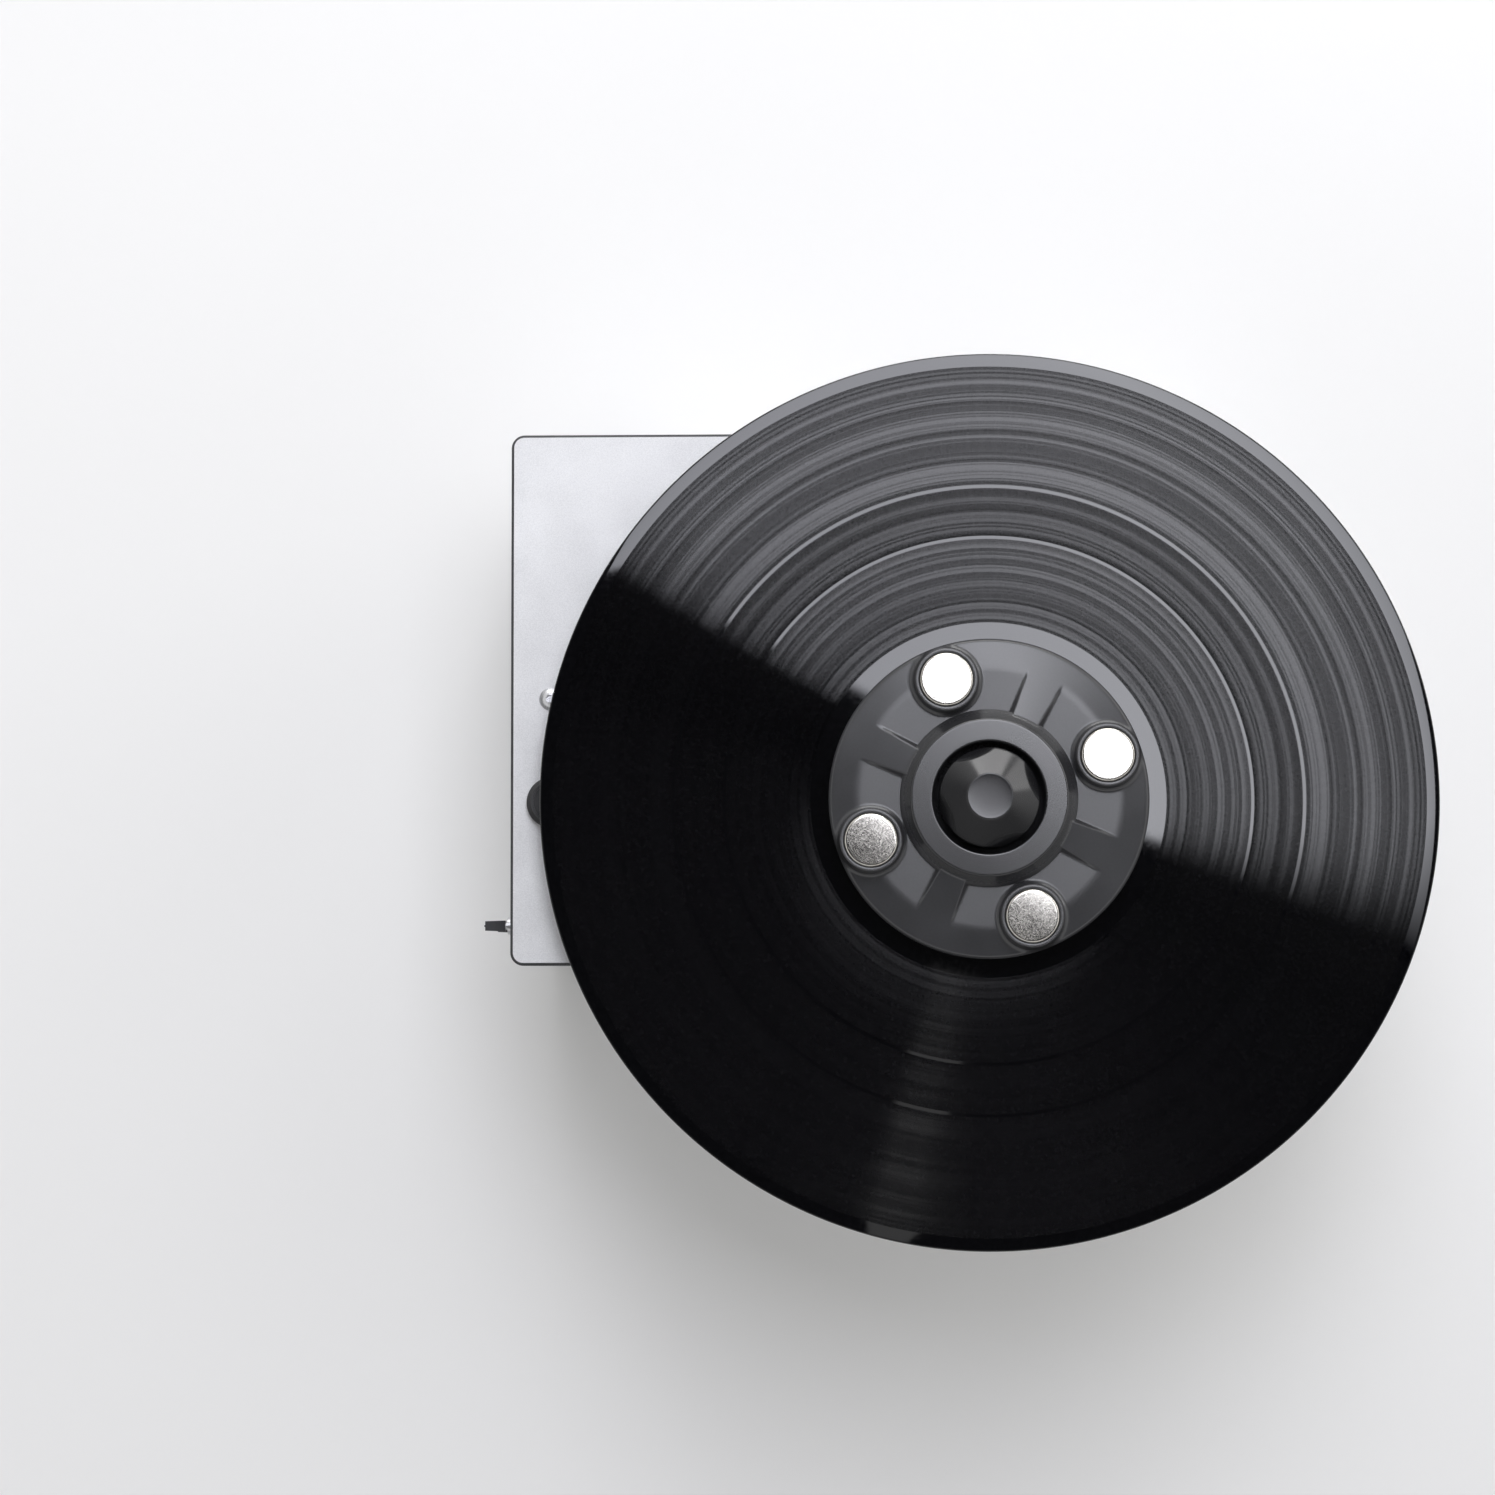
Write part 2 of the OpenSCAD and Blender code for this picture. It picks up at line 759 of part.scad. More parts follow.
module drive_belt() {
    color(rubber) translate([0, 0, pulley_z + (pulley_w - belt_w) / 2]) linear_extrude(belt_w)
        difference() {
            belt_outline(belt_gap + belt_t);
            belt_outline(belt_gap);
        }
}

module motor_shaft() {
    color(steel) translate([motor_x, 0, plate_z - shaft_depth])
        cylinder(d = output_d, h = pulley_z + pulley_w - plate_z + shaft_depth);
}

module gearmotor() {
    motor_low_z = plate_z - gearbox_l - gearmotor_l;
    color(steel) difference() {
        translate([motor_x, 0, 0]) {
            translate([0, 0, plate_z - gearbox_l]) cylinder(d = gearmotor_d, h = gearbox_l);
            translate([0, 0, motor_low_z]) cylinder(d = gearmotor_d - 3, h = gearmotor_l + eps);
            translate([0, 0, plate_z - eps]) cylinder(d = boss_d, h = bracket_t);
            translate([0, 0, motor_low_z - 3]) cylinder(d = boss_d, h = 3 + eps);
        }
        translate([motor_x, 0, plate_z - shaft_depth - 0.2])
            cylinder(d = output_d + 2 * run_gap, h = shaft_depth + bracket_t + 1);
        at_gearbox_screws() translate([0, 0, plate_z - 4.2]) cylinder(d = small_screw_d, h = 5);
    }
}

module at_bracket_screws() {
    for (y = [-bracket_depth / 4, bracket_depth / 4]) {
        translate([motor_x - bracket_reach - 9, y, 0]) children();
    }
}

module motor_bracket() {
    left = motor_x - bracket_reach;
    color(steel) difference() {
        union() {
            translate([left, -bracket_depth / 2, plate_z])
                cube([bracket_reach + gearmotor_d / 2 + 1, bracket_depth, bracket_t]);
            translate([left, -bracket_depth / 2, plate_z])
                cube([bracket_t, bracket_depth, core_z - plate_z]);
            translate([left - 18, -bracket_depth / 2, core_z - bracket_t])
                cube([18 + bracket_t, bracket_depth, bracket_t]);
        }
        translate([motor_x, 0, plate_z - 1]) cylinder(d = boss_d + 2 * screw_gap, h = bracket_t + 2);
        at_bracket_screws() translate([0, 0, core_z - bracket_t - 1])
            cylinder(d = small_screw_d + 2 * screw_gap, h = bracket_t + 2);
        at_gearbox_screws() translate([0, 0, plate_z - 1])
            cylinder(d = small_screw_d + 2 * screw_gap, h = bracket_t + 2);
    }
}

module at_gearbox_screws() {
    for (k = [0 : 3]) translate([motor_x, 0, 0]) rotate(45 + 90 * k)
        translate([gearmotor_d / 2 - 5, 0, 0]) children();
}

module small_screw(l) {
    button_screw(small_screw_d, small_screw_d * 1.8, 1.6, l, 2);
}

// The screws of the bearing housing and of the motor bracket
module small_screws() {
    color(steel) {
        at_flange_screws() translate([0, 0, core_z - housing_flange_t]) mirror([0, 0, 1])
            small_screw(housing_flange_t + core_t - 1);
        at_bracket_screws() translate([0, 0, core_z - bracket_t]) mirror([0, 0, 1])
            small_screw(bracket_t + core_t - 1);
        at_gearbox_screws() translate([0, 0, plate_z + bracket_t]) small_screw(bracket_t + 4);
    }
}

// Record

module record() {
    groove_out = record_d / 2 - rim_w;
    groove_in = groove_in_d / 2;
    edge = record_t * 0.4;
    color(black) at_spindle(record_z) rotate_extrude($fn = 180) polygon([
        [hole_d / 2, 0], [groove_in, 0], [groove_in + 1, groove_sink], [groove_out - 1, groove_sink],
        [groove_out, 0], [record_d / 2 - edge, 0], [record_d / 2, edge],
        [record_d / 2, record_t - edge], [record_d / 2 - edge, record_t], [groove_out, record_t],
        [groove_out - 1, record_t - groove_sink], [groove_in + 1, record_t - groove_sink],
        [groove_in, record_t], [label_d / 2 + 0.3, record_t], [label_d / 2 + 0.3, record_t - 0.2],
        [hole_d / 2, record_t - 0.2]
    ]);
}

module record_labels() {
    color(amber) at_spindle(record_top - 0.2) ring(label_d, hole_d, 0.2);
}

// Clamp and knob

module spoke_wedge(h) {
    inner = hub_foot_d / 2 - 1;
    outer = pocket_d / 2 + 4;
    linear_extrude(h) polygon([
        [inner, -spoke_in_w / 2], [outer, -spoke_out_w / 2],
        [outer, spoke_out_w / 2], [inner, spoke_in_w / 2]
    ]);
}

// The tapered collar that holds a magnet, from the height low up
module collar(low) {
    translate([0, 0, low]) cylinder(
        d1 = magnet_d + 2 * collar_foot_t, d2 = magnet_d + 2 * collar_t, h = collar_top_h - low
    );
}

module pockets() {
    difference() {
        translate([0, 0, pocket_h]) ring(pocket_d + 1, hub_foot_d, hub_h);
        for (k = [0 : 3]) rotate(magnet_angle + 45 + 90 * k) translate([0, 0, pocket_h - 1])
            spoke_wedge(hub_h + 2);
        at_magnets() collar(pocket_h - 1);
    }
}

module clamp_disc() {
    inner_top = clamp_t;
    color(charcoal) at_spindle(record_top) difference() {
        union() {
            rotate_extrude() polygon([
                [well_d / 2, knob_floor_h], [well_d / 2, hub_h], [hub_d / 2, hub_h],
                [hub_foot_d / 2, clamp_cone_h], [rim_in_r, clamp_rim_h],
                [clamp_r, clamp_rim_h - 0.6], [clamp_r, seal_t],
                [clamp_r - clamp_t, seal_t], [clamp_r - clamp_t, clamp_rim_h - inner_top],
                [magnet_ring_r - 2, knob_floor_h], [stem_d / 2 + 3, floor_low_h],
                [stem_d / 2 + run_gap, floor_low_h], [stem_d / 2 + run_gap, knob_floor_h]
            ]);
            at_magnets() collar(clamp_rim_h - 1);
        }
        pockets();
        at_magnets() translate([0, 0, magnet_h - magnet_t]) cylinder(d = magnet_d, h = magnet_t + 1);
    }
}

module clamp_magnets() {
    color(silver) at_spindle(record_top) at_magnets() {
        translate([0, 0, magnet_h - magnet_t]) cylinder(d = magnet_d, h = magnet_t - magnet_edge);
        translate([0, 0, magnet_h - magnet_edge])
            cylinder(d1 = magnet_d, d2 = magnet_d - 2 * magnet_edge, h = magnet_edge);
    }
}

module clamp_seal() {
    color(rubber) at_spindle(record_top) ring(clamp_d - 0.6, clamp_d - 0.6 - 2 * seal_w, seal_t);
}

// One hollow in the knob's slope, a tilted cylinder beside the knob
module knob_scallop() {
    cut_r = 13;
    reach = knob_d / 2 - 2.6;
    translate([reach, 0, knob_edge_h + 1.6]) rotate([0, -28, 0]) translate([cut_r, 0, -12])
        cylinder(r = cut_r, h = 24);
}

module clamp_knob() {
    color(black) at_spindle(record_top) difference() {
        union() {
            intersection() {
                rotate_extrude() polygon([
                    [0, skirt_low_h], [knob_d / 2, skirt_low_h], [knob_d / 2, knob_edge_h],
                    [knob_flat_d / 2, knob_h], [0, knob_h]
                ]);
                difference() {
                    translate([0, 0, skirt_low_h - 1]) cylinder(d = knob_d + 4, h = knob_h);
                    for (k = [0 : 3]) rotate(magnet_angle + 90 * k) knob_scallop();
                }
            }
            translate([0, 0, stem_low_h]) cylinder(d = stem_d, h = skirt_low_h - stem_low_h + eps);
        }
        translate([0, 0, stem_low_h - 1]) cylinder(d = insert_d, h = thread_h + 2 - stem_low_h);
        translate([0, 0, clip_h]) ring(stem_d + 2, stem_d - 1, clip_t);
    }
}

module knob_insert() {
    color(brass) at_spindle(record_top + stem_low_h)
        ring(insert_d, thread_d + 2 * run_gap, thread_h + 1 - stem_low_h);
}

module knob_clip() {
    color(steel) at_spindle(record_top + clip_h) ring(stem_d + 4, stem_d - 1, clip_t);
}

// Suction arm socket

module arm_socket() {
    r = socket_d / 2;
    color(black) translate([socket_x, 0, 0]) difference() {
        union() {
            translate([0, 0, top_z]) rotate_extrude() polygon([
                [0, 0], [r, 0], [r, socket_h - 0.8], [r - 0.8, socket_h], [0, socket_h]
            ]);
            translate([0, 0, barrel_low_z]) cylinder(d = barrel_d, h = top_z - barrel_low_z + eps);
            translate([0, 0, hose_z]) rotate([-90, 0, 0])
                cylinder(d = hose_bore, h = barrel_d / 2 + spigot_h);
        }
        translate([0, 0, barrel_low_z + 2.5]) cylinder(d = socket_bore_d, h = top_z);
        translate([0, 0, hose_z]) rotate([-90, 0, 0])
            cylinder(d = hose_bore - 3, h = barrel_d / 2 + spigot_h + 1);
    }
}

module socket_nut() {
    color(black) translate([socket_x, 0, core_z - 4]) difference() {
        cylinder(d = barrel_d + 6, h = 4, $fn = 6);
        translate([0, 0, -1]) cylinder(d = barrel_d, h = 6);
    }
}

module socket_bung() {
    color(rubber) translate([socket_x, 0, top_z + socket_h]) {
        difference() {
            rotate_extrude() polygon([
                [0, 0], [bung_d / 2, 0], [bung_d / 2, bung_t - 0.6], [bung_d / 2 - 0.6, bung_t], [0, bung_t]
            ]);
            translate([0, 0, bung_t - 0.4]) ring(bung_d - 3, bung_d - 4, 1);
        }
        translate([0, 0, -bung_l]) cylinder(d = socket_bore_d - 2 * run_gap, h = bung_l + eps);
    }
}

// Switches on the left wall, each pointing to -X

module toggle_body(z) {
    body_l = 16;
    color(steel) translate([case_x, switch_y, z]) difference() {
        union() {
            translate([wall_t, -6, -6.5]) cube([body_l, 12, 13]);
            translate([-bushing_out, 0, 0]) rotate([0, 90, 0])
                cylinder(d = bushing_d, h = bushing_out + wall_t + eps);
            for (k = [-1 : 1]) translate([wall_t + body_l - eps, -1, k * 4.4 - 0.4]) cube([4, 2, 0.8]);
        }
        translate([-bushing_out - eps, 0, 0]) rotate([0, 90, 0])
            cylinder(d1 = bushing_d - 0.8, d2 = bushing_d - 2, h = mouth_depth);
        translate([-pivot_out, 0, 0]) sphere(d = toggle_d + 1.6, $fn = 48);
        translate([-pivot_out, 0, 0]) rotate([90, 0, 0])
            cylinder(d = pivot_pin_d + 2 * run_gap, h = bushing_d + 1, center = true);
    }
}

module rotation_switch() {
    toggle_body(upper_z);
}

module suction_switch() {
    toggle_body(lower_z);
}

module switch_nuts() {
    color(steel) for (z = [upper_z, lower_z]) {
        translate([case_x - 2, switch_y, z]) rotate([0, 90, 0]) difference() {
            cylinder(d = bushing_d + 3.2, h = 2, $fn = 6);
            translate([0, 0, -1]) cylinder(d = bushing_d, h = 4);
        }
    }
}

module at_toggle(z, tilt) {
    translate([case_x - pivot_out, switch_y, z]) rotate([0, tilt, 0]) children();
}

module toggle_lever() {
    color(steel) {
        sphere(d = toggle_d + 1.4, $fn = 48);
        translate([-(paddle_out - pivot_out - 2), 0, 0]) rotate([0, 90, 0])
            cylinder(d = toggle_d, h = paddle_out - pivot_out - 2);
        rotate([90, 0, 0]) cylinder(d = pivot_pin_d, h = pivot_pin_l, center = true);
    }
}

// The plastic paddle on a toggle, a little narrower towards its tip. Its root
// clears the bushing's mouth when the toggle is tilted all the way.
module toggle_paddle() {
    far = paddle_out - pivot_out;
    near = (bushing_out - pivot_out + paddle_h / 2 * sin(toggle_tilt)) / cos(toggle_tilt) + 0.3;
    nib = 0.5;
    color(black) difference() {
        union() {
            translate([0, 0, -paddle_h / 2]) linear_extrude(paddle_h) polygon([
                [-near, -paddle_w / 2], [-near, paddle_w / 2],
                [-far + nib, paddle_w / 2 - 0.25], [-far + nib, -paddle_w / 2 + 0.25]
            ]);
            translate([-far, 0, 0]) rotate([0, 90, 0]) cylinder(d1 = 0.5, d2 = 1, h = nib + eps);
        }
        translate([-far + 2, 0, 0]) rotate([0, 90, 0]) cylinder(d = toggle_d, h = far);
    }
}

module rotation_toggle() {
    at_toggle(upper_z, 0) toggle_lever();
}

module rotation_paddle() {
    at_toggle(upper_z, 0) toggle_paddle();
}

module suction_toggle() {
    at_toggle(lower_z, -toggle_tilt) toggle_lever();
}

module suction_paddle() {
    at_toggle(lower_z, -toggle_tilt) toggle_paddle();
}

// Waste tank and hoses

module waste_tank() {
    color(amber) difference() {
        union() {
            translate([tank_x, tank_y, floor_z]) slab(tank_w, tank_d, tank_h, 5);
            translate([drain_x, tank_y + tank_d - eps, drain_z]) rotate([-90, 0, 0])
                cylinder(d = drain_d, h = 6);
        }
        translate([tank_x + tank_t, tank_y + tank_t, floor_z + tank_t])
            slab(tank_w - 2 * tank_t, tank_d - 2 * tank_t, tank_h, 3);
        translate([drain_x, tank_y + tank_d - tank_t - 1, drain_z]) rotate([-90, 0, 0])
            cylinder(d = drain_bore, h = 20);
    }
}

module spigot(outer_d) {
    ring(outer_d, outer_d - 3, spigot_h);
}

module tank_lid() {
    color(amber) {
        difference() {
            translate([tank_x, tank_y, lid_z]) slab(tank_w, tank_d, lid_t, 5);
            translate([socket_x, inlet_y, lid_z - 1]) cylinder(d = hose_bore - 3, h = lid_t + 2);
            translate([air_out_x, fan_y, lid_z - 1]) cylinder(d = air_bore - 3, h = lid_t + 2);
        }
        difference() {
            translate([tank_x + tank_t + 0.2, tank_y + tank_t + 0.2, lid_z - 3])
                slab(tank_w - 2 * tank_t - 0.4, tank_d - 2 * tank_t - 0.4, 3 + eps, 2.8);
            translate([tank_x + 2 * tank_t, tank_y + 2 * tank_t, lid_z - 4])
                slab(tank_w - 4 * tank_t, tank_d - 4 * tank_t, 4, 1.5);
        }
        translate([socket_x, inlet_y, lid_top_z - eps]) spigot(hose_bore);
        translate([air_out_x, fan_y, lid_top_z - eps]) spigot(air_bore);
    }
}

// From the socket's outlet back and down into the tank's lid
module liquid_hose() {
    run = inlet_y - hose_bend - barrel_d / 2;
    drop_z = hose_z - hose_bend;
    color(black) translate([socket_x, 0, 0]) {
        translate([0, barrel_d / 2, hose_z]) rotate([-90, 0, 0]) ring(hose_d, hose_bore, run);
        translate([0, inlet_y, drop_z]) rotate([0, 0, -90]) hose_elbow(hose_bend, hose_d, hose_bore);
        translate([0, inlet_y, lid_top_z]) ring(hose_d, hose_bore, drop_z - lid_top_z);
    }
}

// From the tank's lid up, across and down into the fan's inlet
module air_hose() {
    rise_z = air_z - air_bend;
    run = fan_x - air_out_x - 2 * air_bend;
    color(black) translate([0, fan_y, 0]) {
        translate([air_out_x, 0, lid_top_z]) ring(air_d, air_bore, rise_z - lid_top_z);
        translate([air_out_x, 0, rise_z]) hose_elbow(air_bend, air_d, air_bore);
        translate([air_out_x + air_bend, 0, air_z]) rotate([0, 90, 0]) ring(air_d, air_bore, run);
        translate([fan_x, 0, rise_z]) mirror([1, 0, 0]) hose_elbow(air_bend, air_d, air_bore);
        translate([fan_x, 0, fan_top_z]) ring(air_d, air_bore, rise_z - fan_top_z);
    }
}

// Suction motor and fan

module suction_motor() {
    color(steel) translate([fan_x, fan_y, fan_motor_z]) difference() {
        cylinder(d = fan_motor_d, h = fan_motor_h);
        translate([0, 0, 10]) cylinder(d = fan_shaft_d + 2 * run_gap, h = fan_motor_h);
        for (k = [0 : 7]) rotate(45 * k) translate([fan_motor_d / 2 - 4, -4, 12]) cube([8, 8, 18]);
    }
}

module motor_isolator() {
    color(rubber) translate([fan_x, fan_y, floor_z]) ring(fan_motor_d - 4, fan_motor_d - 24, isolator_h);
}

module fan_housing() {
    wall_y = case_y + case_d - wall_t;
    color(silver) difference() {
        union() {
            translate([fan_x, fan_y, fan_z]) cylinder(d = fan_d, h = fan_h);
            translate([fan_x, fan_y, fan_top_z - eps]) cylinder(d = air_bore, h = fan_spigot_h);
            translate([fan_x - outlet_w / 2 - fan_t, fan_y, outlet_z - outlet_h / 2 - fan_t])
                cube([outlet_w + 2 * fan_t, wall_y - fan_y, outlet_h + 2 * fan_t]);
        }
        translate([fan_x, fan_y, fan_z + fan_t]) cylinder(d = fan_d - 2 * fan_t, h = fan_h - 2 * fan_t);
        translate([fan_x, fan_y, fan_z - 1]) cylinder(d = fan_shaft_d + 4, h = fan_t + 2);
        translate([fan_x, fan_y, fan_top_z - fan_t - 1]) cylinder(d = air_bore - 3, h = fan_spigot_h + 4);
        translate([fan_x - outlet_w / 2, fan_y, outlet_z - outlet_h / 2])
            cube([outlet_w, wall_y - fan_y + 1, outlet_h]);
    }
}

module fan_impeller() {
    low = fan_z + fan_t + 2;
    blade_h = fan_h - 2 * fan_t - 8;
    color(black) translate([fan_x, fan_y, 0]) {
        translate([0, 0, low]) cylinder(d = impeller_d, h = 2);
        translate([0, 0, low]) cylinder(d = 18, h = blade_h);
        translate([0, 0, fan_motor_z + 12]) cylinder(d = fan_shaft_d, h = low - fan_motor_z - 12 + eps);
        for (k = [0 : blades - 1]) rotate(360 / blades * k) translate([8, -0.8, low + 2 - eps])
            rotate(12) cube([impeller_d / 2 - 11, 1.6, blade_h]);
    }
}

module exhaust_grille() {
    slots = 7;
    lip = 4;
    wide = outlet_w + 2 * lip;
    high = outlet_h + 2 * lip;
    color(black) translate([fan_x - wide / 2, case_y + case_d, outlet_z - high / 2]) difference() {
        translate([0, 2, 0]) rotate([90, 0, 0]) slab(wide, high, 2, 2);
        for (k = [0 : slots - 1]) translate([lip + (outlet_w - 3) / (slots - 1) * k, -1, lip])
            cube([3, 4, outlet_h]);
    }
}

// Drain

module drain_spigot() {
    wall_y = case_y + case_d;
    inside = 8;
    color(black) translate([drain_x, wall_y, drain_z]) rotate([-90, 0, 0]) difference() {
        union() {
            translate([0, 0, -wall_t - inside]) cylinder(d = drain_d, h = wall_t + inside + drain_l);
            cylinder(d = drain_d + 6, h = 2);
            translate([0, 0, -wall_t - 3]) cylinder(d = drain_d + 6, h = 3);
        }
        translate([0, 0, -wall_t - inside - 1]) cylinder(d = drain_bore, h = wall_t + inside + drain_l + 2);
    }
}

module drain_hose() {
    start = tank_y + tank_d;
    finish = case_y + case_d - wall_t - 3;
    color(black) translate([drain_x, start, drain_z]) rotate([-90, 0, 0])
        ring(drain_d + 4, drain_d, finish - start);
}

module drain_plug() {
    color(rubber) translate([drain_x, case_y + case_d + drain_l, drain_z]) rotate([-90, 0, 0]) {
        cylinder(d = drain_d - 0.4, h = plug_head_t);
        translate([0, 0, -plug_l]) cylinder(d = drain_bore - 2 * run_gap, h = plug_l + eps);
        translate([0, 0, plug_head_t - eps]) cylinder(d = drain_d / 2, h = plug_head_t);
    }
}

// Mains inlet with its pins, and the fuse drawer above the socket

module mains_inlet() {
    wall_y = case_y + case_d;
    high = inlet_total_h;
    color(black) translate([inlet_x, wall_y, inlet_z]) {
        difference() {
            union() {
                translate([-inlet_w / 2, -inlet_d, 0]) cube([inlet_w, inlet_d + eps, high]);
                translate([-inlet_w / 2 - inlet_lip, 0, -inlet_lip])
                    cube([inlet_w + 2 * inlet_lip, inlet_lip_t, high + 2 * inlet_lip]);
            }
            translate([-inlet_w / 2 + inlet_wall, -inlet_d + 3, inlet_wall])
                cube([inlet_w - 2 * inlet_wall, inlet_d + inlet_lip_t, inlet_h - 2 * inlet_wall]);
            translate([-inlet_w / 2 + inlet_wall, -inlet_d + 3, inlet_h])
                cube([inlet_w - 2 * inlet_wall, inlet_d + inlet_lip_t, drawer_h - inlet_wall]);
            at_pins() cube([pin_w, inlet_d, pin_high]);
        }
    }
}

// The low back corner of each of the three pins, the earth pin in the middle
module at_pins() {
    translate([0, -inlet_d - 4, inlet_h / 2]) {
        for (x = [-7, 7]) translate([x - pin_w / 2, 0, -3]) children();
        translate([-pin_w / 2, 0, 1]) children();
    }
}

module inlet_pins() {
    color(brass) translate([inlet_x, case_y + case_d, inlet_z]) at_pins()
        cube([pin_w, inlet_d - 1, pin_high]);
}

module fuse_drawer() {
    g = screw_gap;
    drawer_w = inlet_w - 2 * inlet_wall - 2 * g;
    color(black) translate([inlet_x, case_y + case_d, inlet_z + inlet_h]) difference() {
        union() {
            translate([-inlet_w / 2 + inlet_wall + g, -inlet_d + 6, g])
                cube([drawer_w, inlet_d - 6 + inlet_lip_t, drawer_h - inlet_wall - 2 * g]);
            translate([-inlet_w / 2 + 1, inlet_lip_t + g, -0.6])
                cube([inlet_w - 2, 1.4, drawer_h - 0.8]);
            translate([-inlet_w / 2 + inlet_wall + g, inlet_lip_t - eps, g]) cube([drawer_w, 0.4, 5]);
        }
        translate([-3, inlet_lip_t + g + 0.7, 1]) cube([6, 2, 2]);
    }
}

// Power board

module power_board() {
    color(green) difference() {
        translate([board_x, board_y, board_z]) cube([board_w, board_d, board_t]);
        at_board_posts() translate([0, 0, board_z - 1]) cylinder(d = small_screw_d, h = board_t + 2);
    }
}

module at_board_posts() {
    in = board_post_inset;
    for (x = [in, board_w - in], y = [in, board_d - in]) translate([board_x + x, board_y + y, 0]) children();
}

module board_posts() {
    color(brass) at_board_posts() {
        translate([0, 0, floor_z]) cylinder(d = board_post_d, h = board_post_h);
        translate([0, 0, board_z - eps]) cylinder(d = small_screw_d - 0.1, h = board_t + eps);
        translate([0, 0, board_z + board_t]) cylinder(d = board_nut_d, h = board_nut_h);
    }
}

module board_parts() {
    top = board_z + board_t;
    color(charcoal) translate([board_x, board_y, top]) {
        translate([part_edge, part_edge, 0]) slab(transformer_w, transformer_d, transformer_h, 2);
        for (k = [0 : 1]) {
            translate([relay_x + (relay_w + part_gap) * k, part_edge, 0]) slab(relay_w, relay_d, relay_h, 1);
            translate([relay_x + part_gap + (capacitor_d + part_gap) * k, capacitor_y, 0])
                cylinder(d = capacitor_d, h = capacitor_h);
            translate([part_edge + (terminal_w + part_gap) * k, board_d - part_edge, 0])
                cube([terminal_w, terminal_d, terminal_h]);
        }
    }
}

top_skin();
top_core();
case_wrap();
base_plate();
top_brackets();
base_blocks();
top_screws();
base_screws();
small_screws();
feet();
platter();
platter_mat();
spindle();
bearing_housing();
bearing_outer_rings();
bearing_inner_rings();
bearing_balls();
shaft_clip();
platter_pulley();
drive_belt();
motor_pulley();
motor_shaft();
gearmotor();
motor_bracket();
record();
record_labels();
clamp_disc();
clamp_magnets();
clamp_seal();
clamp_knob();
knob_insert();
knob_clip();
arm_socket();
socket_nut();
socket_bung();
rotation_switch();
suction_switch();
switch_nuts();
rotation_toggle();
rotation_paddle();
suction_toggle();
suction_paddle();
waste_tank();
tank_lid();
liquid_hose();
air_hose();
suction_motor();
motor_isolator();
fan_housing();
fan_impeller();
exhaust_grille();
drain_spigot();
drain_hose();
drain_plug();
mains_inlet();
inlet_pins();
fuse_drawer();
power_board();
board_parts();
board_posts();
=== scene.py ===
"""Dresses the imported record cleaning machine. Metres, +Z up, the spindle at SPINDLE."""
import math

import bpy
import numpy as np
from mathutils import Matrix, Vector


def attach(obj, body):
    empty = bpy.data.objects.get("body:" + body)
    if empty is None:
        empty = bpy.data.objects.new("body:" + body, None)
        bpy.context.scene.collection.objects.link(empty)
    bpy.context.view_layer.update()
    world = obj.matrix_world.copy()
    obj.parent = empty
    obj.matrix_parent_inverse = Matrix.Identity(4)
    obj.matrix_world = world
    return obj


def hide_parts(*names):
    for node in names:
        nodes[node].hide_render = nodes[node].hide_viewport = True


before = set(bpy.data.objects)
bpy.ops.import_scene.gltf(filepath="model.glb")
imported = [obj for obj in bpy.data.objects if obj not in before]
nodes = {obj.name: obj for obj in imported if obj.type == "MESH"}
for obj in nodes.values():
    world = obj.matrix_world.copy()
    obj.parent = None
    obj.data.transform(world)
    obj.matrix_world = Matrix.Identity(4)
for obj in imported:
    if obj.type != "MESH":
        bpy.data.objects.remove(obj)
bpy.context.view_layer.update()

MM = 0.001
SPINDLE = (0.01245, 0.0)
RECORD_TOP = 0.1875
MAGNET_ANGLE = math.radians(19.7)
RECORD_R = 150.8

# Grooved bands of the record in millimetres, with flat separators between them, and how wide their lands are
GROOVED_BANDS = [(59.7, 88.0), (89.0, 105.2), (106.3, 146.4)]
INNER_BAND, MIDDLE_BAND, OUTER_BAND = 1.04, 0.74, 1.12
BAND_STEP = 0.0001

# Section of one groove pitch, in shares of half the pitch: a crowned land, a round shoulder and a steep wall
GROOVE_PITCH = 0.00017
LAND_WIDE = 0.56
LAND_NARROW = 0.22
CROWN_SLOPE = 0.06
SHOULDER = 0.07
WALL_SLOPE = 1.3
VINYL_SPECULAR, WALL_SPECULAR = 0.6, 0.05


# Materials: every one is a Principled shader fed by patterns on Object coordinates

